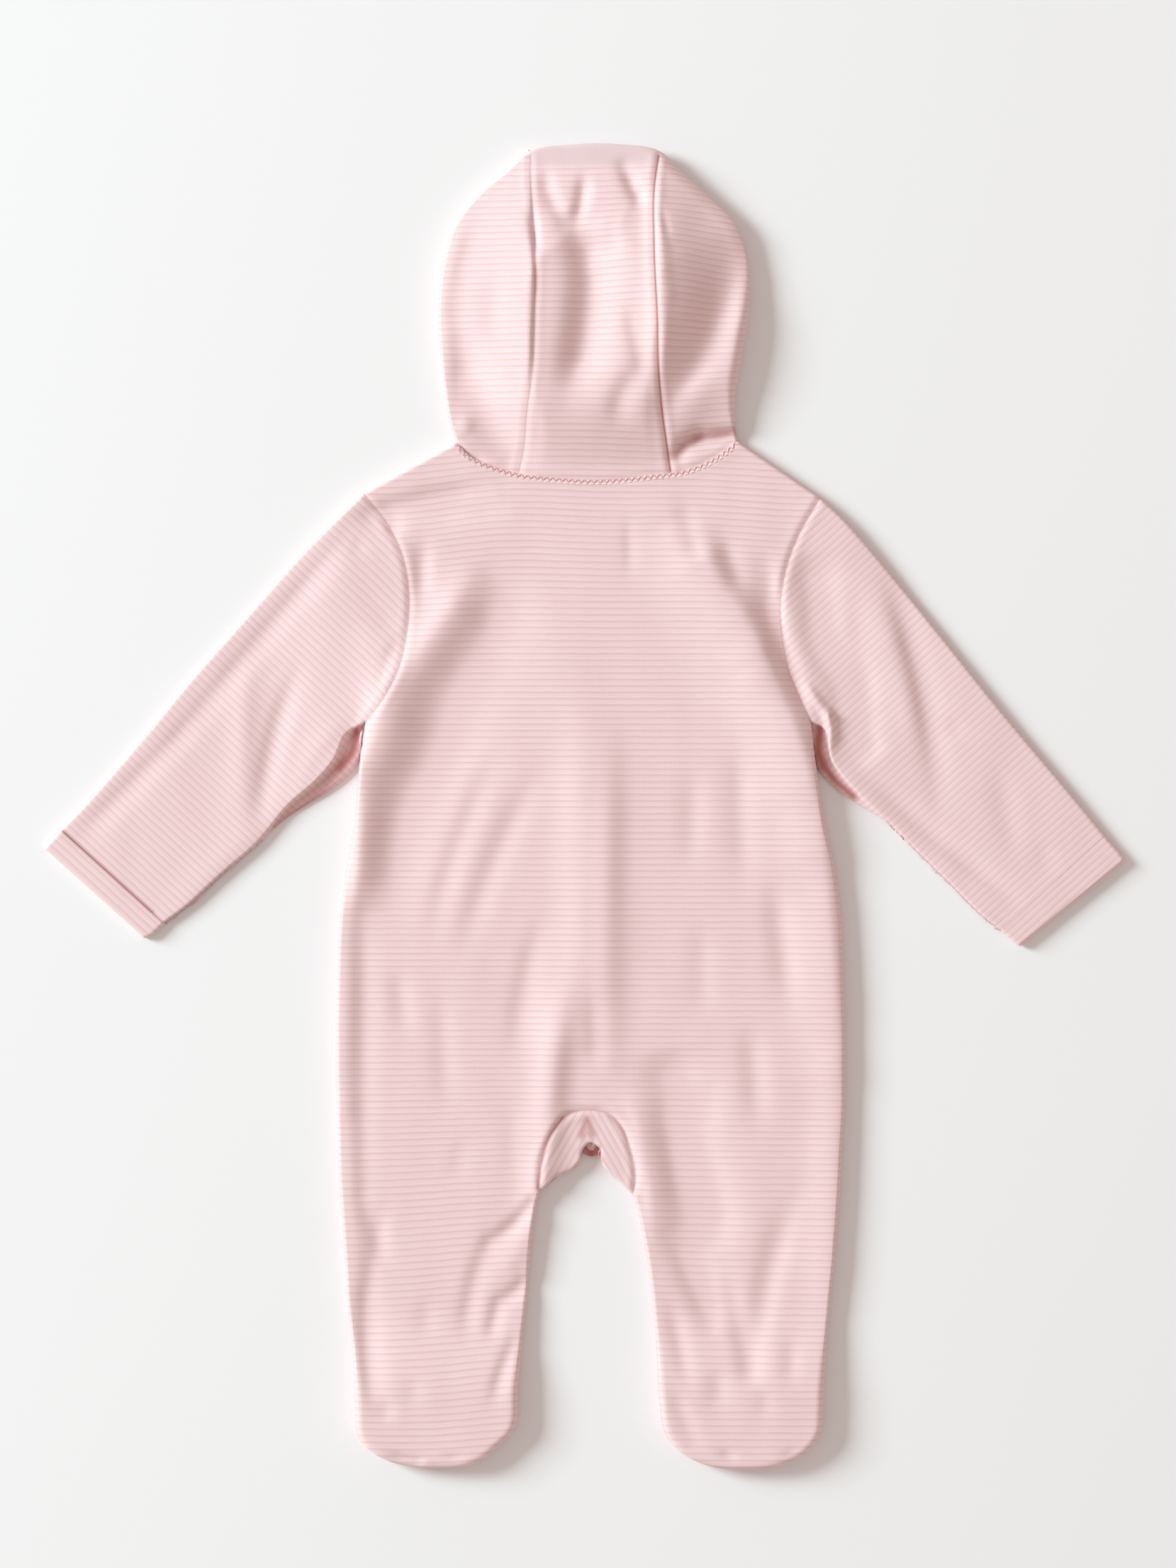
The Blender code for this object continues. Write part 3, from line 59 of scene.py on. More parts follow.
# Folded edges and the heights of the two layers
ROLL = 0.0014                 # how far in from a folded edge the top of the cloth has bent flat
UNDER_ROLL = 0.0055           # and its underside, which is drawn in below the fold
UPPER_SEAM = 0.0037           # height of the upper layer's rim along the outline
LOWER_SEAM = 0.0036           # height of the lower layer's rim along the outline
UPPER_HEIGHT = 0.0066         # outer face of the upper layer where it lies flat
STRIP_RISE = 0.10             # share of its rise that a folded edge has at its upright strip
RIM_SPARE = 0.0006            # the cloth stays this much above its rim
RIM_SOFTNESS = 0.0008         # and comes down to that limit softly, over about this height
CREASE_BODY = (0.3, 0.7)      # between these shares of its length a crease has its full lift
SLEEVES_FROM = (-0.135, 0.142)  # beyond these two lines lie the sleeves
SLEEVE_EASE = 0.045           # over this width they come down to their own height
RIGHT_SLEEVE = 0.6            # the right one comes down by this share of the left one's
THIN = 0.0024                 # the sleeves lie this much flatter than the body
THIN_RIM = 0.0016             # and so does the rim along their outline
FOOT_RISE = 0.0046            # the feet stand up by this much
FOOT_RIM = 0.0022             # and the rim along their outline by this much
FOOT_ROLL = 0.0016            # their folded edges are this much wider
FOOT_LEVELS = (-0.280, -0.330)  # between these levels a leg rises to its foot

# Uneven lie of each surface: seed, number of waves, shortest and longest, steepness, and
# spread of their directions in radians
UPPER_WAVES = (5, 26, 0.014, 0.075, 0.0026, 0.35)
LOWER_WAVES = (11, 20, 0.02, 0.08, 0.004, 0.5)
HOOD_WAVES = (8, 22, 0.014, 0.06, 0.0022, 0.4)
HOOD_LOWER_WAVES = (12, 16, 0.02, 0.06, 0.004, 0.5)
LOWER_REST = 0.0001           # waves of the front lower than this lie on the floor

# The hood
HOOD_EDGE = 0.0050            # mid height of the fold along its left side
HOOD_EDGE_TILT = 0.0030       # on its right side the fold stands higher by this
HOOD_EDGE_TURN = (-0.02, 0.10)  # it rises from this x, over this width
HOOD_ROLL = 0.0065            # the softer fold of its right side
HOOD_SIDE_TURN = (-0.04, 0.09)  # from its left side's form to its right side's, in the same way
HOOD_LEFT_SIDE = 0.0070       # height just inside its outline, left and right
HOOD_RIGHT_SIDE = 0.0098
HOOD_CROWN = 0.0185           # and of its middle
HOOD_DOME_REACH = 0.050       # this far in from the outline it has the height of its middle
HOOD_RISE = 0.045             # the hood gains its height over this length from the neck
FOREHEAD = 0.3320             # its centre strip ends here on the underside

# The front overlap and its studs
PLACKET_HALF = 0.009          # half the width of the front overlap
PLACKET_OUTER = 0.0012        # the outer edge is held up by the stud caps
PLACKET_INNER = 0.0026        # the under edge lies on the outer one
PLACKET_SLOPE = 0.011         # over this width the front comes down to the floor again
PLACKET_NARROW = (-0.301, -0.316)  # between these levels the overlap narrows to a plain seam
PLACKET_LAND = (-0.318, -0.336)    # and between these that seam comes down to the floor
STUD_FIRST = 0.014            # along the placket, from the neck
STUD_PITCH = 0.057
STUD_COUNT = 9
STUD_SIDES = 32
STUD_MERGE = 0.00001
# Radius and height of a stud's cap, from the middle of its face out and round its back
STUD_PROFILE = [
    (0.0, 0.00022), (0.0020, 0.00020), (0.0027, 0.00002), (0.0038, 0.00000), (0.0044, 0.00010),
    (0.0047, 0.00034), (0.00475, 0.00060), (0.0046, 0.00078), (0.0, 0.00080),
]

# Seams: depth of the groove that the stitches pull in, and strength and width of the shade painted along it
NECK_SEAM = (0.00015, 0.05, 0.0004)
ARCH_SEAM = (0.0007, 0.3, 0.0006)
ARMHOLE_SEAM = (0.00040, 0.35, 0.0006)
HOOD_LEFT_SEAM = (0.00012, 0.4, 0.0005)
HOOD_RIGHT_SEAM = (0.00045, 0.95, 0.0006)
GROOVE_WIDTH = 0.0016
PAD_PLACE = 0.0034            # the seam allowance lies under the cloth this far from the seam
PAD_WIDTH = 0.0018
PAD_LIFT = 0.00022
ANY_HEIGHT = 1.0              # above all of the cloth

# Stitches beside the neck seam
THREAD_RADIUS = 0.00030
STITCH_RISE = 0.00012         # the thread's middle lies this high above the cloth
NECK_ROW = -0.0010            # the zigzag lies this far below the neck seam
ZIGZAG_SWING = 0.0009         # to either side of its middle
ZIGZAG_STEP = 0.00175
ZIGZAG_ENDS = (0.005, 0.995)  # shares of the seam where it starts and ends
DASH_ROW = 0.0015             # the straight stitches lie this far below the zigzag
DASH_STEP = 0.0035
DASH_FILLED = 0.6             # share of a step that its stitch fills

# The step from the sleeve's lower edge out to the edge of its lower layer
LIP_FULL = 0.006              # how wide the step must be to have its full form
LIP_ROLL = 0.0018             # behind a full step the underside bends flat over this distance

# The cuffs: how far the band stands above the sleeve, how far its edge dips beside it, and the
# depth over which its open end is rounded
CUFF_LEFT_FORM = (0.0004, 0.0009, 0.0022)
CUFF_RIGHT_FORM = (0.0, 0.0, 0.0050)
CUFF_ROLL = 0.0014            # its sewn end is rounded over this depth

# The tuck of the gusset, from the middle of the crotch edge down
TUCK_ACROSS = (-0.0026, 0.0092)
TUCK_DOWN = (-0.1850, -0.1955)
TUCK_COLUMNS = 13
TUCK_ROWS = 12
TUCK_MIDDLE = 0.0033
TUCK_HALF = 0.0059
TUCK_LENGTH = 0.0105
TUCK_BOW = 0.0030             # at its foot the two sides end this much higher up the plan
TUCK_HEIGHT = 0.0026
TUCK_FALL = 0.0006            # its foot lies this much lower, and the foot's sides as much again

# ---------- rows and columns of the grids
# Columns across a folded edge (its first strip is upright) and beside a seam, in metres
FOLD_STEPS = np.array([0.0, 0.0, 0.0001, 0.0003, 0.0007, 0.0013, 0.0023, 0.0045])
SEAM_STEPS = np.array([0.0, 0.0003, 0.0006, 0.0010, 0.0015, 0.0022, 0.0031, 0.0045])
END_STEPS = len(SEAM_STEPS)
EDGE_STRIP = FOLD_STEPS[-1]
BOW_REACH = 0.110             # down the body its rows lose the curve of the top row over this
HOOD_BOW_REACH = 0.040        # and the hood's rows the curve of the neck, or of the crown
SLEEVE_BOW_REACH = 0.030      # and a sleeve's rings the curve of the armhole

BACK_COLUMNS = 67             # across each half of the back and each leg
FRONT_COLUMNS = 45            # across each half of the front, and its right leg
MIDDLE_COLUMNS = 28           # across the part of the right front beside the overlap
BACK_SHOULDER = 26            # columns of a top row that lie on the shoulder
FRONT_SHOULDER = 18
UNDERARM_ROWS = (0.0055, 0.0040, 0.0026, 0.0013)   # close rows just above the underarm
UPPER_ROWS = 50               # rows between the neck rows and the underarm
BACK_LOWER_ROWS = 92          # and from there to the crotch
FRONT_LOWER_ROWS = 60
SIDE_LOWER_ROWS = 110         # or to the foot
ROWS_TO_UNDERARM = len(SEAM_STEPS) + UPPER_ROWS + len(UNDERARM_ROWS) + 1
ARCH_ROWS = 9                 # rows for each section of the crotch arch
CROSSING_ROWS = np.array([0.0, 0.15, 0.3, 0.45, 0.6, 0.72, 0.82, 0.9, 0.96])  # at the gusset's end
TURN_ROWS = np.array([0.0, 0.0012, 0.0025, 0.004, 0.006])  # close rows below it, in metres
LEG_ROWS = 52                 # from there to the foot
PLAIN_LEG_ROWS = 40           # the same for the front of the right leg
TOE_RAYS = 44                 # rows that turn round a toe
TOE_POINTS = 200              # points of its smooth outline
TOE_PART_POINTS = 100         # and of the part of it on one side of the overlap
GUSSET_COLUMNS = 16
GUSSET_END_GAP = 1.3          # its two ends stand this many curved gaps back from the legs
CUFF_COLUMNS = 56

# Rings of a sleeve, a cuff and the hood, counted in the sections of their tables
SLEEVE_ROWS = np.concatenate([[0, 0.012, 0.024, 0.04, 0.06, 0.09, 0.13, 0.18],
                              np.linspace(0.25, 7.88, 84), [7.93, 7.97, 8.0]])
CUFF_ROWS = np.array([0, 0.02, 0.05, 0.1, 0.18, 0.3, 0.45, 0.62, 0.8, 1.0, 1.2, 1.4, 1.56, 1.7,
                      1.82, 1.9, 1.95, 1.98, 2.0])
CUFF_SECTIONS = np.arange(3.0)
HOOD_ROWS = np.concatenate([[0, 0.02, 0.04, 0.07, 0.1, 0.15, 0.2], np.linspace(0.27, 8.85, 82),
                            [8.9, 8.94, 8.97, 9.0]])

# Shares of the way across each of their parts
LIP_SHARES = np.array([0.06, 0.12, 0.2, 0.3, 0.4, 0.5, 0.6, 0.7, 0.78, 0.84, 0.9, 0.95, 1.0])
HOOD_UP = np.concatenate([[0, 0.006, 0.013, 0.022, 0.034, 0.05], np.linspace(0.08, 0.93, 30),
                          [0.95, 0.965, 0.978, 0.988, 0.995, 1.0]])
HOOD_UNDER = np.concatenate([[0, 0.003, 0.009, 0.018, 0.03, 0.045, 0.065, 0.09],
                             np.linspace(0.12, 1.0, 24)])
CENTRE_ACROSS = np.concatenate([[0, 0.004, 0.01, 0.018, 0.028, 0.042, 0.06],
                                np.linspace(0.085, 0.915, 34),
                                [0.94, 0.958, 0.972, 0.982, 0.99, 0.996, 1.0]])
CROWN_OVER = (0.2, 0.4, 0.6, 0.75, 0.87, 0.95, 1.0)
CROWN_UNDER = (0.006, 0.018, 0.035, 0.06, 0.09, 0.14, 0.2, 0.3, 0.4, 0.55, 0.7, 0.85, 1.0)

# ---------- run of the stripes
PITCH = 0.00355               # of the stripes on the body
LOW_LEG = -0.20               # below this level the cloth is a little longer drawn
LEG_STRETCH = 0.927
SLEEVE_TURN = {"sleeve_left": 47.5, "cuff_left": 47.5, "sleeve_right": -48.0, "cuff_right": -48.0}
SLEEVE_STRETCH = {"sleeve_left": 0.967, "cuff_left": 0.967, "sleeve_right": 1.03,
                  "cuff_right": 1.03}
GUSSET_MIDDLE = 0.0012        # the gusset's stripes run outwards and down from this line
GUSSET_LEVEL = -0.18
GUSSET_RUN = (0.87, 0.5)      # of each step outwards, and of each step up
HOOD_FOLD_TOP = 0.0134        # height from which the hood's stripes run on over its folds
STEEP_GAIN = 2.0              # it does so fully where 1 - |z| of a normal reaches 1 / this
OVER_FOLD = 0.6               # share of a fold's drop by which the stripes run on over it
LEVEL_NORMAL = 1e-6           # a normal with less than this in the plan has no direction there

# ---------- camera and light
VIEW_HEIGHT = 0.8737          # of the camera's frame, in metres, where the suit lies
VIEW_CENTRE = (0.0014, 0.0122)
CAMERA_RISE = 2.6
SENSOR = 36.0
LIE = 0.006                   # mean height of what the camera looks at
FLOOR_SIZE = 4.0
KEY_SIZE = 2.6
KEY_POWER = 610.0
KEY_COLOUR = (0.96, 1.14, 1.21)
KEY_TURN = 160.0              # the light comes from the left and a little from above
KEY_RISE = 24.0
KEY_DISTANCE = 7.5
ROOM_COLOUR = (1.0, 0.87, 0.82)
ROOM_STRENGTH = 0.55
LIT_RIM = 0.30                # painted shade on cloth that faces -X, where the light comes from: up to this share of the shade colour, so that folded edges there don't glare; from this much of a turn towards it, over this much more
LIT_FROM = 0.60               # this share, so that folded edges there don't glare: from this
LIT_OVER = 0.35               # much of a turn towards it, over this much more
CROWN_BAND = 0.3567           # above this level the hood's centre strip is a plain band
CROWN_FADE = 0.0032


# ---------- tables of outlines
def table(columns, rows):
    """Named arrays, one for each column of a table of sizes."""
    return dict(zip(columns.split(), np.array(rows, dtype=float).T))


# The outline of the back, a row for each section from the shoulder to the crotch: armhole,
# then side, where the cloth is folded; and the middle line at the same sections
BACK_LEFT = table("x y fold", [
    (-0.1240, 0.1742, 0), (-0.1106, 0.1572, 0), (-0.1023, 0.1402, 0), (-0.0984, 0.1177, 0),
    (-0.0999, 0.0948, 0), (-0.1043, 0.0762, 0), (-0.1122, 0.0605, 0), (-0.1232, 0.0455, 1),
    (-0.1256, 0.0265, 1), (-0.1272, 0.0107, 1), (-0.1288, -0.0091, 1), (-0.1325, -0.0300, 1),
    (-0.1368, -0.0620, 1), (-0.1385, -0.0960, 1), (-0.1390, -0.1300, 1), (-0.1386, -0.1650, 1),
])
BACK_RIGHT = table("x y fold", [
    (0.1307, 0.1718, 0), (0.1197, 0.1530, 0), (0.1130, 0.1367, 0), (0.1086, 0.1138, 0),
    (0.1094, 0.0948, 0), (0.1130, 0.0762, 0), (0.1190, 0.0608, 0), (0.1260, 0.0460, 1),
    (0.1280, 0.0265, 1), (0.1303, 0.0107, 1), (0.1331, -0.0091, 1), (0.1380, -0.0300, 1),
    (0.1424, -0.0620, 1), (0.1438, -0.0960, 1), (0.1446, -0.1300, 1), (0.1444, -0.1650, 1),
])
BACK_MIDDLE = table("x y", [
    (0.0040, 0.1817), (0.0040, 0.1610), (0.0035, 0.1410), (0.0030, 0.1175),
    (0.0030, 0.0935), (0.0030, 0.0730), (0.0030, 0.0550), (0.0030, 0.0410),
    (0.0030, 0.0240), (0.0030, 0.0080), (0.0030, -0.0120), (0.0030, -0.0320),
    (0.0028, -0.0630), (0.0022, -0.0960), (0.0014, -0.1300), (0.0008, -0.1695),
])
UNDERARM = 7                  # the section where the armhole ends and the side begins
FRONT_UNDERARM = 8            # the same for the front, a little lower

# Each leg from the top of the crotch arch down: outer side, inner side (the arch seam, across
# the gusset's end, then the inside leg), and 1 where the inner side is a folded edge
LEG_LEFT = table("out_x out_y in_x in_y in_fold", [
    (-0.1386, -0.1650, 0.0008, -0.1695, 0),
    (-0.1385, -0.1720, -0.0103, -0.1722, 0),
    (-0.1382, -0.1805, -0.0174, -0.1801, 0),
    (-0.1380, -0.1900, -0.0221, -0.1892, 0),
    (-0.1376, -0.2040, -0.0258, -0.2080, 0),
    (-0.1369, -0.2150, -0.0250, -0.2150, 1),
    (-0.1365, -0.2205, -0.0266, -0.2190, 1),
    (-0.1357, -0.2330, -0.0291, -0.2325, 1),
    (-0.1343, -0.2530, -0.0311, -0.2530, 1),
    (-0.1327, -0.2780, -0.0332, -0.2780, 1),
    (-0.1302, -0.3010, -0.0356, -0.3010, 1),
    (-0.1293, -0.3160, -0.0370, -0.3160, 1),
    (-0.1288, -0.3250, -0.0377, -0.3250, 1),
    (-0.1284, -0.3390, -0.0377, -0.3390, 1),
])
LEG_RIGHT = table("out_x out_y in_x in_y in_fold", [
    (0.1444, -0.1650, 0.0008, -0.1695, 0),
    (0.1442, -0.1720, 0.0138, -0.1722, 0),
    (0.1437, -0.1805, 0.0209, -0.1801, 0),
    (0.1431, -0.1900, 0.0243, -0.1892, 0),
    (0.1423, -0.2060, 0.0276, -0.2100, 0),
    (0.1416, -0.2175, 0.0262, -0.2165, 1),
    (0.1412, -0.2230, 0.0284, -0.2225, 1),
    (0.1403, -0.2345, 0.0309, -0.2340, 1),
    (0.1387, -0.2545, 0.0347, -0.2545, 1),
    (0.1363, -0.2780, 0.0375, -0.2780, 1),
    (0.1343, -0.3010, 0.0393, -0.3010, 1),
    (0.1327, -0.3250, 0.0405, -0.3250, 1),
    (0.1323, -0.3390, 0.0417, -0.3390, 1),
])
GUSSET_CORNERS = (4, 5)       # the two sections at the gusset's end
# Each toe, from the outer side of the foot round to its inner side
TOE_LEFT = table("x y", [
    (-0.1284, -0.3390), (-0.1270, -0.3510), (-0.1181, -0.3606), (-0.1098, -0.3650),
    (-0.0995, -0.3677), (-0.0829, -0.3689), (-0.0679, -0.3681), (-0.0593, -0.3654),
    (-0.0478, -0.3560), (-0.0394, -0.3468), (-0.0377, -0.3390),
])
TOE_RIGHT = table("x y", [
    (0.1323, -0.3390), (0.1313, -0.3490), (0.1252, -0.3583), (0.1145, -0.3654),
    (0.1019, -0.3689), (0.0885, -0.3697), (0.0743, -0.3689), (0.0640, -0.3662),
    (0.0510, -0.3583), (0.0432, -0.3475), (0.0417, -0.3390),
])

# The crotch edge: its point beside each section of the arch, from the arch's top outwards
CROTCH_LEFT = table("x y", [
    (0.0030, -0.1880), (-0.0014, -0.1915), (-0.0026, -0.1975), (-0.0070, -0.2025),
    (-0.0150, -0.2062), (-0.0250, -0.2150),
])
CROTCH_RIGHT = table("x y", [
    (0.0030, -0.1880), (0.0078, -0.1912), (0.0084, -0.1985), (0.0132, -0.2048),
    (0.0200, -0.2106), (0.0262, -0.2165),
])

# Neck seam, from the wearer's left shoulder to the right one
NECK_BACK = table("x y", [
    (-0.0719, 0.2026), (-0.0648, 0.1951), (-0.0537, 0.1900), (-0.0375, 0.1853),
    (-0.0166, 0.1829), (0.0040, 0.1817), (0.0375, 0.1845), (0.0541, 0.1868),
    (0.0707, 0.1935), (0.0845, 0.2034),
])
NECK_FRONT = table("x y", [
    (-0.0719, 0.2026), (-0.0610, 0.1890), (-0.0360, 0.1780), (0.0030, 0.1735),
    (0.0420, 0.1780), (0.0710, 0.1900), (0.0845, 0.2034),
])

# The front armhole, from the shoulder down to the underarm point
FRONT_ARMHOLE_LEFT = table("x y", [
    (-0.1240, 0.1742), (-0.1112, 0.1560), (-0.1040, 0.1380), (-0.1015, 0.1150),
    (-0.1035, 0.0930), (-0.1095, 0.0700), (-0.1185, 0.0470), (-0.1256, 0.0265),
])
FRONT_ARMHOLE_RIGHT = table("x y", [
    (0.1307, 0.1718), (0.1200, 0.1530), (0.1138, 0.1360), (0.1110, 0.1140),
    (0.1125, 0.0930), (0.1170, 0.0700), (0.1232, 0.0470), (0.1280, 0.0265),
])
# Where the two upper sheets of the right front meet, from the neck to the crotch
SPLIT_LINE = table("x y", [
    (0.0450, 0.1786), (0.0400, 0.0600), (0.0370, -0.0200), (0.0320, -0.0700),
    (0.0270, -0.1050), (0.0215, -0.1300), (0.0140, -0.1520), (0.0008, -0.1695),
])
# The middle line of the overlap, from the neck down the left leg to its toe
PLACKET = table("x y", [
    (0.0030, 0.1735), (0.0020, 0.0600), (0.0000, -0.0700), (-0.0090, -0.1250),
    (-0.0350, -0.1760), (-0.0600, -0.2200), (-0.0760, -0.2700), (-0.0830, -0.3200),
    (-0.0830, -0.3689),
])

# Each sleeve from the armhole to the cuff: upper edge, lower edge, and the edge of the lower
# layer, which shows below it near the underarm
SLEEVE_LEFT = table("up_x up_y low_x low_y lip_x lip_y", [
    (-0.1240, 0.1742, -0.1232, 0.0455, -0.1259, 0.0267),
    (-0.1400, 0.1586, -0.1334, 0.0390, -0.1310, 0.0180),
    (-0.1590, 0.1395, -0.1398, 0.0250, -0.1425, 0.0085),
    (-0.1790, 0.1168, -0.1510, 0.0120, -0.1562, 0.0002),
    (-0.1990, 0.0942, -0.1660, -0.0012, -0.1690, -0.0085),
    (-0.2204, 0.0699, -0.1825, -0.0210, -0.1825, -0.0210),
    (-0.2465, 0.0383, -0.2022, -0.0381, -0.2022, -0.0381),
    (-0.2737, 0.0067, -0.2210, -0.0553, -0.2210, -0.0553),
    (-0.2923, -0.0130, -0.2346, -0.0655, -0.2346, -0.0655),
])
SLEEVE_RIGHT = table("up_x up_y low_x low_y lip_x lip_y", [
    (0.1307, 0.1718, 0.1260, 0.0460, 0.1283, 0.0267),
    (0.1450, 0.1586, 0.1335, 0.0415, 0.1300, 0.0200),
    (0.1620, 0.1392, 0.1372, 0.0240, 0.1390, 0.0100),
    (0.1815, 0.1155, 0.1510, 0.0066, 0.1520, 0.0010),
    (0.2000, 0.0926, 0.1693, -0.0102, 0.1693, -0.0102),
    (0.2210, 0.0663, 0.1851, -0.0260, 0.1851, -0.0260),
    (0.2450, 0.0370, 0.2021, -0.0427, 0.2021, -0.0427),
    (0.2706, 0.0067, 0.2190, -0.0597, 0.2190, -0.0597),
    (0.2895, -0.0165, 0.2318, -0.0700, 0.2318, -0.0700),
])
# Each cuff, from the sleeve's end to its open end: upper edge and lower edge
CUFF_LEFT = table("up_x up_y low_x low_y", [
    (-0.2923, -0.0130, -0.2346, -0.0655),
    (-0.2990, -0.0203, -0.2418, -0.0722),
    (-0.3022, -0.0237, -0.2463, -0.0738),
])
CUFF_RIGHT = table("up_x up_y low_x low_y", [
    (0.2895, -0.0165, 0.2318, -0.0700),
    (0.2985, -0.0268, 0.2392, -0.0762),
    (0.3010, -0.0312, 0.2425, -0.0785),
])

# The step from the sleeve's lower edge out to the edge of its lower layer: share of the way,
# and the heights with no step and with a full one
LIP = table("share plain stepped", [
    (0.12, 0.00375, 0.0033), (0.50, 0.0034, 0.0035), (0.84, 0.0031, 0.0030), (1.00, 0.0029, 0.0017),
])

# The hood's side pieces, from the neck to the crown: seam with the centre strip, outline, and
# the edge of the face opening on the underside
HOOD_LEFT = table("seam_x seam_y edge_x edge_y face_x face_y", [
    (-0.0375, 0.1853, -0.0719, 0.2026, -0.0010, 0.1737),
    (-0.0345, 0.2000, -0.0755, 0.2130, -0.0060, 0.1900),
    (-0.0328, 0.2184, -0.0785, 0.2310, -0.0150, 0.2130),
    (-0.0292, 0.2449, -0.0812, 0.2550, -0.0250, 0.2430),
    (-0.0284, 0.2720, -0.0820, 0.2800, -0.0300, 0.2700),
    (-0.0278, 0.2980, -0.0795, 0.3020, -0.0330, 0.2950),
    (-0.0283, 0.3200, -0.0725, 0.3240, -0.0335, 0.3130),
    (-0.0300, 0.3380, -0.0585, 0.3415, -0.0330, 0.3240),
    (-0.0308, 0.3520, -0.0430, 0.3545, -0.0320, 0.3290),
    (-0.0308, 0.3622, -0.0310, 0.3650, -0.0308, 0.3320),
])
HOOD_RIGHT = table("seam_x seam_y edge_x edge_y face_x face_y", [
    (0.0474, 0.1862, 0.0845, 0.2034, 0.0090, 0.1737),
    (0.0452, 0.2010, 0.0832, 0.2150, 0.0150, 0.1900),
    (0.0425, 0.2200, 0.0838, 0.2310, 0.0240, 0.2130),
    (0.0404, 0.2449, 0.0880, 0.2560, 0.0340, 0.2430),
    (0.0397, 0.2720, 0.0912, 0.2800, 0.0385, 0.2700),
    (0.0384, 0.2980, 0.0906, 0.3010, 0.0410, 0.2950),
    (0.0378, 0.3200, 0.0840, 0.3232, 0.0415, 0.3130),
    (0.0378, 0.3380, 0.0690, 0.3390, 0.0412, 0.3240),
    (0.0392, 0.3520, 0.0520, 0.3545, 0.0408, 0.3290),
    (0.0407, 0.3618, 0.0410, 0.3648, 0.0407, 0.3320),
])
# The outline over the crown, between the two side pieces
HOOD_TOP = table("x y", [
    (-0.0310, 0.3650), (-0.0103, 0.3685), (0.0055, 0.3693), (0.0213, 0.3685), (0.0410, 0.3648),
])


def creased(rows):
    """A table of creases, in millimetres: ends, bow, width to the left and to the right of the
    run, lift, and the share of the lift at either end."""
    sizes = np.array(rows, dtype=float)
    sizes[:, :8] *= MM
    return dict(zip("x0 y0 x1 y1 bow left right lift first last".split(), sizes.T))


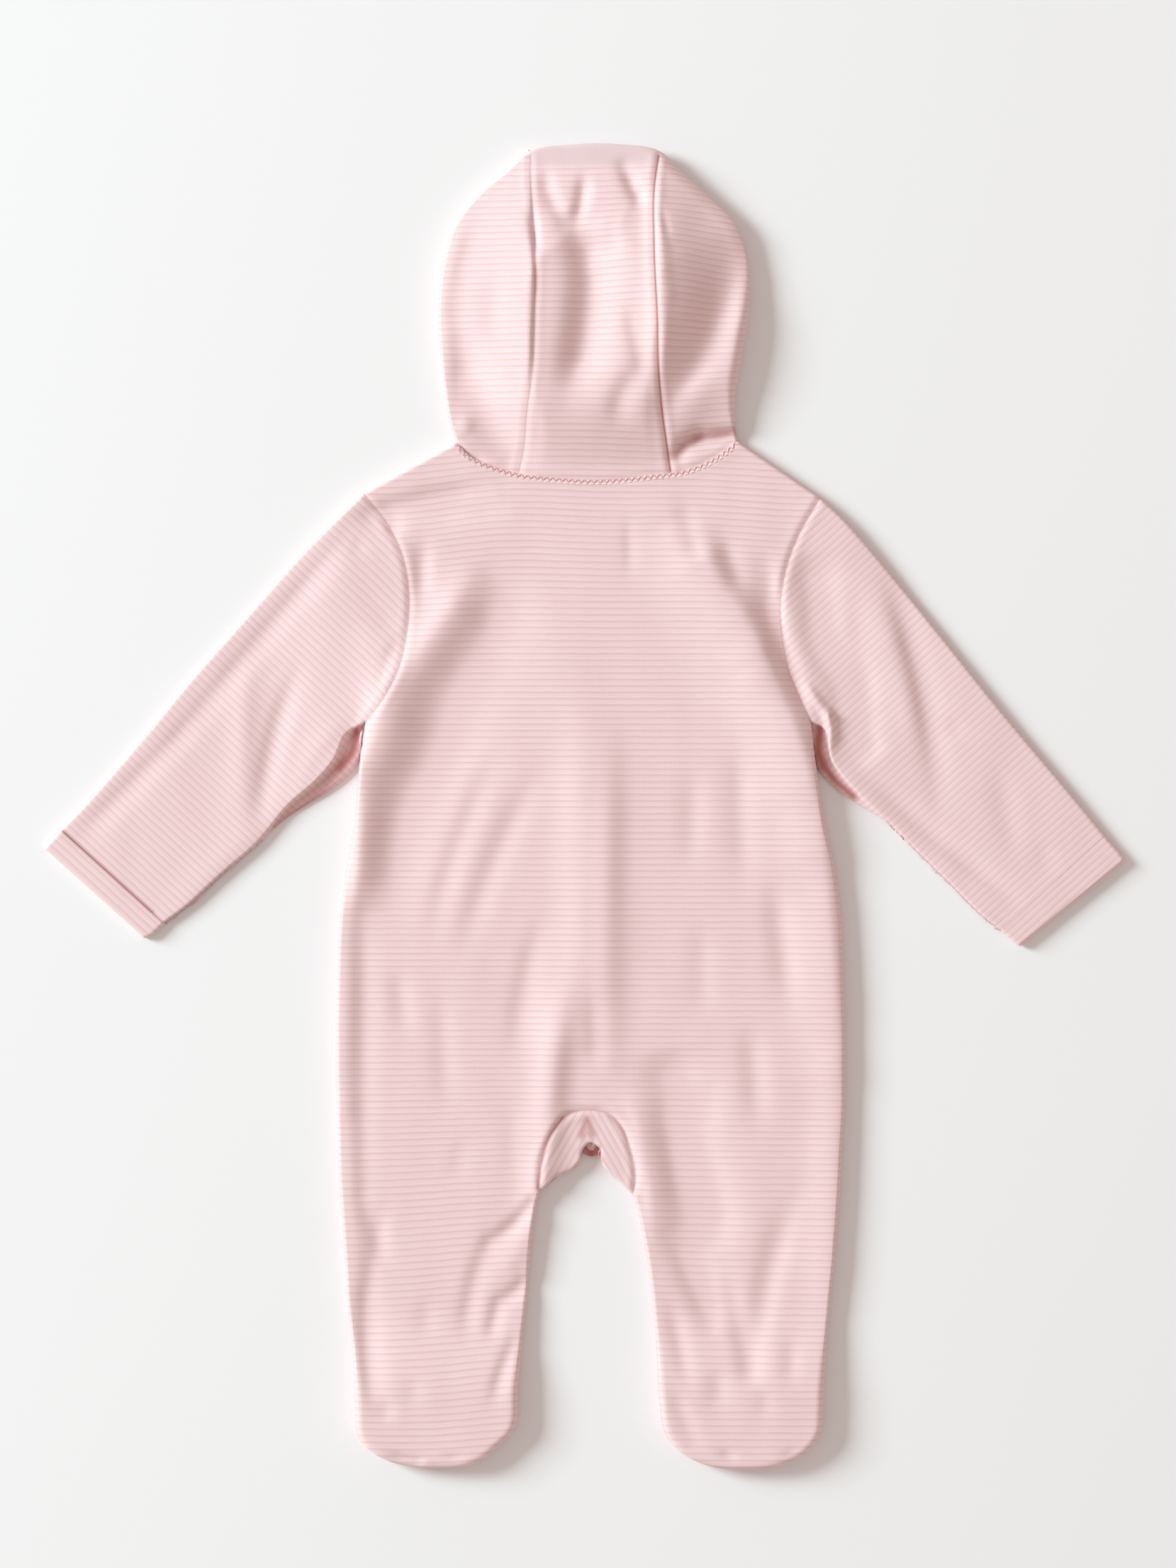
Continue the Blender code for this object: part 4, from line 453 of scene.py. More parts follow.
# Creases of the upper layer
FOLDS = creased([
    (-41.1, 137.1, -76.6, 42.3, -2, 26, 22, -2.8, 0.2, 0.5),  # long trough from the left armhole to the waist
    (-76.6, 42.3, -114.9, -64.4, -5, 20, 18, -2.8, 0.5, 0.2),
    (-58.5, 133.1, -109.4, 64, 3, 16, 11, 4.6, 0.1, 0.5),  # swell between it and the left edge
    (-109.4, 64, -124, 18.6, 1, 19, 8, 5.4, 0.5, 0.5),
    (-124, 18.6, -128.8, -60.4, 1, 13, 5, 4.2, 0.5, 0.1),
    (-132.3, -52.5, -134.3, -167.1, 0, 6, 9, 1.2, 0.5, 0.6),  # rim of the left side and leg
    (-132.7, -167.1, -127.6, -301.4, 1, 6, 9, 0.9, 0.6, 0.3),
    (-124, -60.4, -124, -214.5, 0, 7, 5, -0.9, 0.4, 0.5),  # and the valley behind it
    (-124.8, -218.4, -108.2, -259.9, 0, 6, 5, -0.8, 0.5, 0.2),
    (-111, -218.4, -122.8, -277.7, 0, 5, 5, -0.7, 0.2, 0.5),
    (-122.5, -273.7, -116.9, -335, -2, 8, 5, -1.7, 0.5, 0.3),
    (-1.6, 69.9, -4, -127.6, 0, 10, 11, 1.9, 0.1, 0.8),  # the overlap of the front shows through the back
    (12.6, 54.1, 11.1, -143.4, 0, 9, 10, 2.4, 0.1, 0.5),
    (23.7, 158.8, 24.9, 130, 0, 4, 3, -0.55, 0.4, 0.4),  # short crease below the neck
    (4.7, -103.9, 6.3, -147.3, 0, 7, 6, -0.9, 0.2, 0.5),
    (-12.2, -96, -22.1, -202.6, -1, 8, 10, 3, 0.1, 0.7),  # swell that leaves the crotch
    (-22.9, -206.6, -30, -238.2, 0, 6, 9, 2.2, 0.5, 0.2),
    (-49, 30.4, -87.3, -76.2, -3, 7, 6, -1.1, 0.1, 0.1),  # faint creases of the left half
    (-24.1, 22.5, -70.3, -88.1, -4, 7, 7, -1.2, 0.1, 0.1),
    (-24.1, -60.4, -39.5, -139.4, -2, 7, 6, -1.1, 0.1, 0.2),
    (-105.1, -90.1, -100.3, -127.6, 0, 6, 6, -1, 0.1, 0.2),
    (-80.6, -99.9, -78.2, -167.1, 0, 6, 6, -0.8, 0.1, 0.2),
    (-41.1, -159.2, -41.1, -214.5, 0, 6, 6, -0.5, 0.1, 0.2),
    (-67.5, -182.9, -73.5, -210.5, 0, 6, 5, -0.45, 0.1, 0.1),
    (-118.9, 163.1, -49.8, 177.4, 2, 4.5, 10, -2.4, 0.8, 0.1),  # fold below the left shoulder
    (-93.2, 162.3, -41.1, 166.3, 0, 4, 7, -1.1, 0.2, 0.1),
    (-110.6, 163.9, -104.3, 150.5, 0, 4, 4, -1.6, 0.5, 0.2),  # puckers of the left armhole
    (-90.5, 148.1, -91.6, 113.4, 0, 5, 5, -1.6, 0.2, 0.1),
    (51, 160.8, 99.5, 81.8, 2, 9, 24, 4, 0.1, 0.5),  # long swell down the right side
    (99.5, 81.8, 131.1, -17, 4, 8, 25, 5, 0.5, 0.5),
    (131.1, -17, 140.6, -143.4, 2, 5, 18, 2.6, 0.5, 0.5),
    (140.6, -143.4, 133.5, -301.4, 1, 5, 12, 1.6, 0.5, 0.3),
    (100.3, 133.1, 119.3, 60, -2, 5, 9, -3, 0.3, 0.6),  # trough beside the right armhole
    (53.7, 167.9, 64, 135.1, 0, 6, 6, -1.4, 0.3, 0.2),
    (75.8, 148.9, 86.5, 117.3, 0, 6, 6, -1.4, 0.2, 0.2),
    (105.1, -40.7, 113.8, -111.8, 0, 7, 7, -1.4, 0.1, 0.2),  # faint creases of the right half
    (85.3, 38.3, 88.5, -48.6, 0, 7, 7, -1, 0.1, 0.2),
    (60.4, 22.5, 59.2, -36.7, 0, 6, 7, -0.8, 0.1, 0.1),
    (64.8, -64.4, 65.6, -119.7, 0, 6, 7, -0.8, 0.1, 0.1),
    (91.6, -119.7, 96.4, -178.9, 0, 7, 7, -1.3, 0.1, 0.2),
    (70.3, -147.3, 70.3, -186.8, 0, 6, 6, -0.5, 0.1, 0.1),
    (25.3, -159.2, 39.1, -238.2, 2, 13, 5, 1.9, 0.1, 0.3),  # rim of the right leg
    (43.8, -135.5, 53.7, -182.9, 2, 15, 14, -3.2, 0.1, 0.5),  # deep trough at the top of the right leg
    (53.7, -182.9, 69.5, -252, 2, 15, 16, -4.2, 0.5, 0.3),
    (49.8, -242.1, 73.5, -295.5, 3, 9, 8, -3, 0.3, 0.2),
    (47, -275.7, 57.7, -323.1, 0, 5, 5, -1, 0.2, 0.2),
    (116.9, -216.5, 92.4, -315.2, -3, 7, 8, -1.6, 0.2, 0.6),  # creases that meet above the right foot
    (78.2, -257.9, 90.9, -313.2, 0, 7, 6, -1.5, 0.2, 0.6),
    (73.9, -313.2, 73.9, -335, 0, 6, 6, -0.8, 0.2, 0.2),
    (115.3, -297.4, 114.2, -321.1, 0, 5, 5, -0.7, 0.2, 0.2),
    (99.5, -323.1, 100.3, -340.9, 0, 5, 5, -0.5, 0.2, 0.2),
    (49, -325.1, 60, -352.7, 0, 5, 5, -0.8, 0.2, 0.6),
    (-29.2, -220.4, -53.7, -242.9, 2, 5, 3.5, -1.9, 0.9, 0.5),  # wrinkles at the left inside leg
    (-53.7, -242.9, -67.2, -299.4, -3, 6, 5, -1.2, 0.5, 0.1),
    (-34.8, -265.8, -48.2, -276.1, 1, 5, 3.5, -1.7, 0.9, 0.5),
    (-48.2, -276.1, -53.7, -297.4, 0, 5, 4, -1.3, 0.5, 0.1),
    (-39.9, -299.4, -51.4, -332.2, -1, 5, 4, -1.3, 0.7, 0.2),
    (-32, -240.2, -47.4, -261.9, 0, 6, 6, 0.9, 0.3, 0.3),
    (-88.5, -273.7, -89.3, -297.4, 0, 6, 6, -0.6, 0.1, 0.1),
    (-95.2, -317.2, -97.2, -335, 0, 6, 6, -0.5, 0.1, 0.1),
    (-109.8, -331, -112.2, -342.9, 0, 5, 5, -0.7, 0.2, 0.2),
    (-107.8, -361.4, -93.2, -364.6, 0, 2.5, 2.5, -1.4, 0.4, 1),  # tucks of the left toe
    (-77.4, -361.4, -67.5, -363, 0, 2.5, 2.5, -0.7, 0.3, 0.3),
    (75, -359.1, 84.5, -363, 0, 3, 3, -0.9, 0.3, 0.3),  # and of the right one
    (110.2, -361.4, 118.1, -359.1, 0, 3, 3, -0.6, 0.3, 0.3),
    (-129.6, 154.8, -225.5, 40.3, 0, 7, 5, -1.2, 0.3, 0.6),  # valley behind the upper edge of the left sleeve
    (-225.5, 40.3, -282, -17.8, 0, 7, 5, -1.1, 0.6, 0.2),
    (-131.9, 48.2, -160.4, 8.7, -4, 4, 7, 0.4, 0.6, 0.5),  # rim of its lower edge
    (-160.4, 8.7, -231.5, -58.5, 0, 4, 8, 0.4, 0.5, 0.2),
    (-160, 77.8, -181.7, -5.9, -3, 6, 5, -1.4, 0.1, 0.3),  # elbow creases of the left sleeve
    (-188, 83.7, -191.2, -9.1, -1, 6, 7, 0.8, 0.1, 0.3),
    (-104.3, 101.5, -120.9, 57.3, -3, 4, 14, 1.4, 0.1, 0.6),
    (-126.4, 150.9, -126.4, 137.1, 0, 4, 4, -0.6, 0.2, 0.2),
    (-126.8, 125.2, -104.3, 91.6, 0, 5, 5, -0.4, 0.1, 0.1),
    (124, 141, 131.1, 93.6, 1, 14, 9, -3, 0.1, 0.5),  # trough beside the armhole of the right sleeve
    (131.1, 93.6, 153.7, 50.2, 2, 12, 12, -3.4, 0.5, 0.5),
    (143.8, 50.2, 161.6, 24.5, 0, 9, 14, -3, 0.5, 0.2),
    (121.3, 69.1, 135.5, 50.2, 0, 2.5, 3, 1.6, 0.1, 0.9),  # curled edge above the right underarm
    (135.5, 50.2, 136.7, 33.6, 1, 3, 3, 2.2, 0.9, 0.5),
    (148.5, 123.2, 158, 54.1, 0, 7, 7, -0.8, 0.1, 0.3),  # elbow creases of the right sleeve
    (162, 121.3, 187.2, 22.5, 3, 6, 9, 1.3, 0.1, 0.1),
    (167.5, 131.1, 197.9, -5.1, 5, 9, 7, -1.5, 0.1, 0.2),
    (154.8, 18.6, 244.5, -55.7, -2, 7, 5, -1.5, 0.4, 0.1),  # valley behind its lower edge
    (204.2, 50.2, 207.8, 36.3, 0, 5, 5, -0.5, 0.1, 0.1),
    (230.7, 22.5, 239.4, -30.8, 0, 7, 7, -0.6, 0.1, 0.1),
    (256.8, -19, 257.5, -40.7, 0, 6, 6, -0.4, 0.1, 0.1),
])

# Creases of the hood
HOOD_FOLDS = creased([
    (-10.3, 332.2, 2.4, 297, 2, 15, 10, -4.4, 0.3, 0.5),  # trough down the middle of the hood
    (2.4, 297, -7.9, 227.9, 2, 15, 10, -5.8, 0.5, 0.15),
    (-22.9, 354.3, -11.9, 325.9, -2, 4, 5, -2.1, 0.2, 0.6),  # its two short arms below the crown
    (-0.8, 350.4, -4.7, 326.7, 1, 4, 4, -2.2, 0.2, 0.6),
    (21.3, 355.1, 32.4, 331.4, 0, 4.5, 4, -2.6, 0.5, 0.1),
    (23.7, 322.7, 35.2, 263.5, 0, 10, 14, 1.5, 0.2, 0.3),  # swell before the right seam
    (15, 330.6, 15.8, 302.2, 0, 5, 5, -0.6, 0.1, 0.1),
    (22.9, 279.3, 31.2, 243.7, 0, 6, 4, -1, 0.1, 0.5),
    (31.2, 243.7, 15.8, 210.1, -3, 8, 6, -1.7, 0.5, 0.1),
    (41.1, 346.4, 45.8, 283.2, -1, 3.5, 3.5, 0.9, 0.2, 0.6),  # narrow ridge beside the right seam
    (45.8, 283.2, 43.8, 241.7, 0, 3.5, 3.5, 0.7, 0.6, 0.1),
    (41.5, 334.6, 45.8, 314, 0, 2.5, 2.5, -0.9, 0.2, 0.2),
    (41.5, 350.4, 45, 235.8, 0, 22, 9, 5.2, 0.4, 0.2),  # the right panel falls away
    (85.3, 303, 45.8, 224.8, 3, 9, 13, -4.4, 0.3, 0.6),  # to its diagonal crease
    (90.1, 291.1, 85.3, 216.1, 0, 8, 13, 3.4, 0.3, 0.5),  # and rises again to the outline
    (-29.6, 291.1, -32.4, 227.9, 0, 1.3, 14, 0.9, 0.6, 0.1),
    (-31.6, 343.3, -29.6, 291.1, 0, 1.3, 16, 1.1, 0.3, 0.6),  # the left panel rises to its seam
    (-73.5, 263.5, -41.1, 196.3, -2, 12, 12, -3.4, 0.2, 0.7),  # diagonal trough of the left panel
    (-52.1, 295.1, -49.8, 251.6, 0, 7, 7, -0.6, 0.1, 0.1),
    (-70.3, 216.1, -64, 207.4, 0, 5, 5, 1.2, 0.3, 0.3),
    (-30.8, 330.6, -27.3, 310.9, 0, 3, 3, -1.6, 0.3, 0.6),  # kink of the left seam
    (51, 196.3, 62.8, 205.8, 1, 4, 5, -2.6, 0.7, 0.9),  # fold over the right end of the neck seam
    (62.8, 205.8, 87.7, 206.6, 0, 4, 5, -2.8, 0.9, 0.8),
    (-76.6, 201.1, -53.7, 192.4, -1, 3, 3.5, -1.4, 0.9, 0.3),  # and over the left end
    (-75.8, 232.7, -79.4, 279.3, 0, 8, 6, 1.5, 0.3, 0.5),  # rim of the left panel
    (-79.4, 279.3, -67.2, 326.7, 2, 8, 6, 1.5, 0.5, 0.2),
])

# Where the stripes tilt: around a point, by degrees, rising towards +X
TILTS = table("x y tilt reach", [
    (-0.075, 0.165, 8.0, 0.055), (0.090, 0.160, -4.0, 0.055),
    (-0.080, -0.260, 5.0, 0.080), (-0.060, -0.340, 4.0, 0.045),
])
HOOD_TILTS = table("x y tilt reach", [
    (0.066, 0.310, -9.0, 0.040), (0.066, 0.215, 6.0, 0.035),
])


# ---------- curves in the plan
def pairs(data, x="x", y="y"):
    """Points of the plan, from two columns of a table."""
    return np.column_stack([data[x], data[y]])


def run_lengths(points):
    """Length of a line in the plan up to each of its points."""
    steps = np.hypot(*np.diff(points[:, :2], axis=0).T)
    return np.concatenate([[0.0], np.cumsum(steps)])


def through(knots, values, at, corners=()):
    """Points at the stations `at` of the smooth curve with `values` at `knots`.

    At the knots numbered in `corners` the curve turns sharply.
    """
    leaving = np.zeros_like(values)
    arriving = np.zeros_like(values)
    bounds = [0, *corners, len(knots) - 1]
    for first, last in zip(bounds[:-1], bounds[1:]):
        slopes = np.gradient(values[first:last + 1], knots[first:last + 1], axis=0)
        leaving[first:last] = slopes[:-1]
        arriving[first + 1:last + 1] = slopes[1:]
    at = np.clip(np.asarray(at, dtype=float), knots[0], knots[-1])
    i = np.clip(np.searchsorted(knots, at, side="right") - 1, 0, len(knots) - 2)
    span = (knots[i + 1] - knots[i])[:, None]
    u = (at - knots[i])[:, None] / span
    return ((1 + 2 * u) * (1 - u) ** 2 * values[i] + u * (1 - u) ** 2 * span * leaving[i]
            + u ** 2 * (3 - 2 * u) * values[i + 1] + u ** 2 * (u - 1) * span * arriving[i + 1])


def at_share(line, share):
    """The points at shares of a line's length."""
    length = run_lengths(line)
    wanted = np.clip(share, 0.0, 1.0) * length[-1]
    return np.column_stack([np.interp(wanted, length, line[:, i]) for i in range(2)])


def smooth_line(points, count=120):
    """Points spaced evenly along a smooth curve through the given ones."""
    knots = run_lengths(points)
    fine = through(knots, points, np.linspace(0.0, knots[-1], 12 * len(points)))
    return at_share(fine, np.linspace(0.0, 1.0, count))


def share_at_x(line, x):
    """The share of a line's length where it crosses x."""
    order = np.argsort(line[:, 0])
    length = run_lengths(line)
    return np.interp(x, line[order, 0], length[order]) / length[-1]


def stretch_of(line, from_x, to_x, shares):
    """Points on the line between two values of x, at shares of that stretch."""
    first = share_at_x(line, from_x)
    last = share_at_x(line, to_x)
    return at_share(line, first + np.asarray(shares) * (last - first))


def distance_to(lines, plan):
    """Distance in the plan from each point to the nearest of the lines."""
    flat = plan.reshape(-1, 2)
    best = np.full(len(flat), 1.0)
    for line in lines:
        start = line[:-1]
        run = line[1:] - start
        square = np.maximum((run ** 2).sum(axis=1), TINY_SQUARE)
        share = ((flat[:, None] - start) * run).sum(axis=2) / square
        foot = start + np.clip(share, 0.0, 1.0)[:, :, None] * run
        away = flat[:, None] - foot
        best = np.minimum(best, np.sqrt((away ** 2).sum(axis=2)).min(axis=1))
    return best.reshape(plan.shape[:-1])


def ease(value):
    """A smooth step: 0 up to 0, 1 from 1 on."""
    value = np.clip(value, 0.0, 1.0)
    return value * value * (3 - 2 * value)


def moved_left(line, distance):
    """The line moved in the plan, to the left of its direction."""
    run = np.gradient(line, axis=0)
    for i in range(len(run)):
        if np.hypot(*run[i]) < TINY:
            run[i] = run[i - 1] if i else run[i + 1]
    run /= np.hypot(run[:, 0], run[:, 1])[:, None]
    return line + distance * np.column_stack([-run[:, 1], run[:, 0]])


# ---------- outlines
def body_outline(side, leg, toe, underarm):
    """The folded outline of one half, from the underarm down, round the toe, to the gusset."""
    return np.concatenate([
        smooth_line(pairs(side)[underarm:], 60),
        smooth_line(pairs(leg, "out_x", "out_y"), 60)[1:],
        smooth_line(pairs(toe), 60)[1:],
        smooth_line(pairs(leg, "in_x", "in_y")[GUSSET_CORNERS[1]:], 40)[::-1][1:],
    ])


def sleeve_edge(sleeve, x, y, cuff, cuff_x, cuff_y):
    """One edge of a sleeve and of its cuff, from the armhole to the open end."""
    edge = through(np.arange(len(sleeve[x]), dtype=float), pairs(sleeve, x, y), SLEEVE_ROWS)
    end = through(CUFF_SECTIONS, pairs(cuff, cuff_x, cuff_y), CUFF_ROWS)
    return np.concatenate([edge, end[1:]])


NECK_BACK_LINE = smooth_line(pairs(NECK_BACK))
NECK_FRONT_LINE = smooth_line(pairs(NECK_FRONT))
PLACKET_LINE = smooth_line(pairs(PLACKET), 160)
CROTCH_LINE = smooth_line(np.concatenate([pairs(CROTCH_LEFT)[::-1], pairs(CROTCH_RIGHT)[1:]]), 80)
SHOULDERS = [
    np.concatenate([[neck_end], sleeve_edge(sleeve, "up_x", "up_y", cuff, "up_x", "up_y")])
    for neck_end, sleeve, cuff in [
        (NECK_BACK_LINE[0], SLEEVE_LEFT, CUFF_LEFT), (NECK_BACK_LINE[-1], SLEEVE_RIGHT, CUFF_RIGHT)]
]


def layer_outlines(underarm, x, y):
    """All folded edges of one layer: `x y` names the sleeve's edge for it."""
    return SHOULDERS + [
        body_outline(BACK_LEFT, LEG_LEFT, TOE_LEFT, underarm),
        body_outline(BACK_RIGHT, LEG_RIGHT, TOE_RIGHT, underarm),
        CROTCH_LINE,
        sleeve_edge(SLEEVE_LEFT, x, y, CUFF_LEFT, "low_x", "low_y"),
        sleeve_edge(SLEEVE_RIGHT, x, y, CUFF_RIGHT, "low_x", "low_y"),
    ]


UPPER_OUTLINES = layer_outlines(UNDERARM, "low_x", "low_y")
LOWER_OUTLINES = layer_outlines(FRONT_UNDERARM, "lip_x", "lip_y")
HOOD_EDGE_POINTS = np.concatenate([
    pairs(HOOD_LEFT, "edge_x", "edge_y"),
    pairs(HOOD_TOP)[1:-1],
    pairs(HOOD_RIGHT, "edge_x", "edge_y")[::-1],
])
HOOD_EDGE_KNOTS = run_lengths(HOOD_EDGE_POINTS)
HOOD_OUTLINES = [smooth_line(HOOD_EDGE_POINTS, 240)]


# ---------- heights of the two layers
def folded(distance, reach):
    """How far a layer has risen, 0 at a folded edge and 1 from `reach` inwards."""
    inward = np.clip(distance / reach, 0.0, 1.0)
    return np.sqrt(1.0 - (1.0 - inward) ** 2)


def along(plan, start, end, bow):
    """Share along a bowed line, signed distance to its left, and distance beyond its ends."""
    run = end - start
    length = math.hypot(*run)
    run = run / length
    across = np.array([-run[1], run[0]])
    away = plan - start
    share = (away @ run) / length
    beyond = np.maximum(np.maximum(-share, share - 1.0), 0.0) * length
    share = np.clip(share, 0.0, 1.0)
    side = away @ across - 4.0 * bow * share * (1.0 - share)
    return share, side, beyond


def creases(plan, rows):
    """Sum of ridges and troughs, each with its own width on either side."""
    total = np.zeros(plan.shape[:-1])
    for x0, y0, x1, y1, bow, left, right, lift, first, last in zip(*rows.values()):
        share, side, beyond = along(plan, np.array([x0, y0]), np.array([x1, y1]), bow)
        width = np.where(side > 0, left, right)
        size = np.interp(share, [0.0, *CREASE_BODY, 1.0], [first, 1.0, 1.0, last])
        shape = np.exp(-(side / width) ** 2 - (beyond / (0.5 * (left + right))) ** 2)
        total += lift * size * shape
    return total


def waves(plan, seed, count, shortest, longest, steepness, turning):
    """Uneven lie of the cloth: long waves that run mostly down the piece."""
    draw = np.random.default_rng(seed)
    total = np.zeros(plan.shape[:-1])
    for _ in range(count):
        length = shortest * (longest / shortest) ** draw.random()
        turn = draw.normal(0.0, turning)
        phase = draw.random() * 2 * math.pi
        run = (plan[..., 0] * math.cos(turn) + plan[..., 1] * math.sin(turn)) / length
        total += steepness * length * np.sin(2 * math.pi * run + phase)
    return total / math.sqrt(count)


def seam_lines():
    """Seams of the upper layer, each with its depth, and the strength and width of the shade painted along
    it.
    """
    arch = np.concatenate([pairs(LEG_LEFT, "in_x", "in_y")[:GUSSET_CORNERS[1] + 1][::-1],
                           pairs(LEG_RIGHT, "in_x", "in_y")[1:GUSSET_CORNERS[1] + 1]])
    seams = [(NECK_BACK_LINE, *NECK_SEAM), (smooth_line(arch), *ARCH_SEAM)]
    for side in (BACK_LEFT, BACK_RIGHT):
        seams.append((smooth_line(pairs(side)[:UNDERARM + 1]), *ARMHOLE_SEAM))
    return seams


def grooves(plan, seams):
    """How the cloth dips along its seams and swells over their allowances."""
    total = np.zeros(plan.shape[:-1])
    for line, depth, _, _ in seams:
        away = distance_to([line], plan)
        total -= depth * np.exp(-(away / GROOVE_WIDTH) ** 2)
        total += PAD_LIFT * np.exp(-((away - PAD_PLACE) / PAD_WIDTH) ** 2)
    return total


BODY_SEAMS = seam_lines()
HOOD_SEAMS = [
    (smooth_line(pairs(HOOD_LEFT, "seam_x", "seam_y")), *HOOD_LEFT_SEAM),
    (smooth_line(pairs(HOOD_RIGHT, "seam_x", "seam_y")), *HOOD_RIGHT_SEAM),
    BODY_SEAMS[0],
]

# Painted shade and painted shadow: darker, redder cloth in deep folds, clefts and hollows, along
# the arch seam and beside the left cuff's step, where the cloth lies in shadow. Columns: the pieces,
# strength, width and greatest height in millimetres (99 for any height), and points along it
PAINTED_SHADES = [
    # painted shade in the cleft under the left sleeve
    (("sleeve_left",), 1.0, 2.2, 4.0, [(-130.0, 45.5), (-128.4, 43.5), (-127.2, 38.0)]),
    (("sleeve_left",), 0.95, 3.0, 3.9, [(-127.6, 41.0), (-130.0, 31.0), (-137.5, 20.5)]),
    (("sleeve_left",), 0.65, 3.0, 3.9, [(-137.5, 20.5), (-147.0, 9.5), (-157.0, 1.0),
                                        (-172.0, -12.5)]),
    # painted shade in the cleft under the right sleeve
    (("sleeve_right",), 1.0, 3.2, 4.1, [(131.5, 47.4), (130.2, 38.3), (130.0, 29.6),
                                        (133.0, 21.7)]),
    (("sleeve_right",), 0.95, 2.2, 4.1, [(133.0, 21.7), (139.8, 13.8), (149.5, 5.0)]),
    # painted shadow beside the left cuff's step
    (("sleeve_left", "cuff_left"), 0.55, 0.9, 99, [(-291.0, -14.3), (-264.0, -38.5),
                                                   (-241.0, -59.3)]),
    # painted shade along the arch seam, in the gusset's valley, beside its right lobe and on its tuck
    (("crotch_gusset", "back"), 0.75, 0.9, 99, [(-12.5, -173.5), (-19.5, -183.5),
                                                (-24.5, -198.0), (-26.6, -213.0)]),
    (("crotch_gusset", "back"), 0.3, 0.8, 99, [(12.5, -172.0), (19.5, -179.5), (24.0, -190.0)]),
    (("crotch_gusset",), 0.55, 2.2, 99, [(0.6, -174.0), (-2.2, -183.5)]),
    (("crotch_gusset",), 0.55, 2.2, 99, [(0.6, -174.0), (3.8, -183.0)]),
    (("crotch_gusset",), 0.7, 1.0, 99, [(7.6, -190.0), (8.6, -198.5)]),
    (("crotch_gusset",), 1.0, 7.0, 2.2, [(3.0, -188.0), (4.0, -196.0)]),
    # painted shadow of the hood's fold over the right end of the neck seam
    (("hood_right",), 0.5, 2.6, 99, [(50.0, 195.1), (56.0, 201.5), (63.0, 205.4), (73.0, 207.4),
                                     (83.5, 209.0)]),
]


def painted_shades_on(node):
    """The painted shades of one piece, in metres: line, strength, width and greatest height."""
    return [(smooth_line(np.array(points) * MM, 40), strength, width * MM, height * MM)
            for nodes, strength, width, height, points in PAINTED_SHADES if node in nodes]


def with_height(plan, height):
    return np.concatenate([plan, height[..., None]], axis=-1)


def on_foot(plan):
    """0 on the body and 1 on the feet, which stand higher."""
    return ease((FOOT_LEVELS[0] - plan[..., 1]) / (FOOT_LEVELS[0] - FOOT_LEVELS[1]))


def on_sleeve(plan):
    """0 on the body and 1 on the sleeves, which lie flatter; the left one most of all."""
    left = ease((SLEEVES_FROM[0] - plan[..., 0]) / SLEEVE_EASE)
    right = ease((plan[..., 0] - SLEEVES_FROM[1]) / SLEEVE_EASE)
    return left + RIGHT_SLEEVE * right


def rim_shift(plan):
    """How much higher the rim stands than on the body."""
    return FOOT_RIM * on_foot(plan) - THIN_RIM * on_sleeve(plan)


def edge_rise(plan, flags, outlines, roll):
    """Rise of a layer. Flag 1 is a folded edge, and flag 2 the top of its upright strip."""
    rise = folded(distance_to(outlines, plan), roll + FOOT_ROLL * on_foot(plan))
    rise = np.where(flags == 1, 0.0, rise)
    return np.where(flags == 2, STRIP_RISE, rise)


def upper_lie(plan):
    """Creases, uneven lie, feet and sleeves of the upper layer, above its mean height."""
    lie = creases(plan, FOLDS) + waves(plan, *UPPER_WAVES)
    return lie + FOOT_RISE * on_foot(plan) - THIN * on_sleeve(plan)


def above_rim(top, rim):
    """The cloth stays above its rim, however deep a crease runs into it."""
    spare = top - rim - RIM_SPARE
    return rim + RIM_SPARE + 0.5 * (spare + np.sqrt(spare ** 2 + RIM_SOFTNESS ** 2))


def upper_layer(plan, flags=0):
    """Outer face of the back and of the sleeve tops."""
    rise = edge_rise(plan, flags, UPPER_OUTLINES, ROLL)
    rim = UPPER_SEAM + rim_shift(plan)
    top = above_rim(UPPER_HEIGHT + upper_lie(plan) + grooves(plan, BODY_SEAMS), rim)
    return with_height(plan, rim + (top - rim) * rise)


def placket_offset(plan):
    """Signed distance from the middle of the overlap, positive towards +X."""
    line_x = np.interp(-plan[..., 1], -PLACKET_LINE[:, 1], PLACKET_LINE[:, 0])
    return np.sign(plan[..., 0] - line_x) * distance_to([PLACKET_LINE], plan)


def between_levels(level, levels):
    """1 above the first level, easing to 0 at the second."""
    return ease((level - levels[1]) / (levels[0] - levels[1]))


def lower_layer(plan, flags, lift, outward):
    """Outer face of the front, held up by `lift` along the overlap.

    It comes down to the floor on the side named by `outward`, -1 or 1.
    """
    rise = edge_rise(plan, flags, LOWER_OUTLINES, UNDER_ROLL)
    beyond = outward * placket_offset(plan) - PLACKET_HALF
    held = lift * (1.0 - ease(beyond / PLACKET_SLOPE)) * between_levels(plan[..., 1], PLACKET_LAND)
    dents = np.maximum(waves(plan, *LOWER_WAVES) - LOWER_REST, 0.0) * rise
    return with_height(plan, (LOWER_SEAM + rim_shift(plan)) * (1.0 - rise) + held + dents)


def front_left_layer(plan, flags=0):
    return lower_layer(plan, flags, PLACKET_OUTER, -1.0)


def front_right_layer(plan, flags=0):
    return lower_layer(plan, flags, PLACKET_INNER, 1.0)


def hood_share(plan):
    """0 along the neck seam, 1 where the hood has its full height."""
    neck = np.interp(plan[..., 0], NECK_BACK_LINE[:, 0], NECK_BACK_LINE[:, 1])
    return ease((plan[..., 1] - neck) / HOOD_RISE)


def hood_edge(plan, seam):
    """Mid height of the fold along the outline: the right side stands higher."""
    side = HOOD_EDGE_TILT * ease((plan[..., 0] - HOOD_EDGE_TURN[0]) / HOOD_EDGE_TURN[1])
    return seam + (HOOD_EDGE + side - seam) * hood_share(plan)


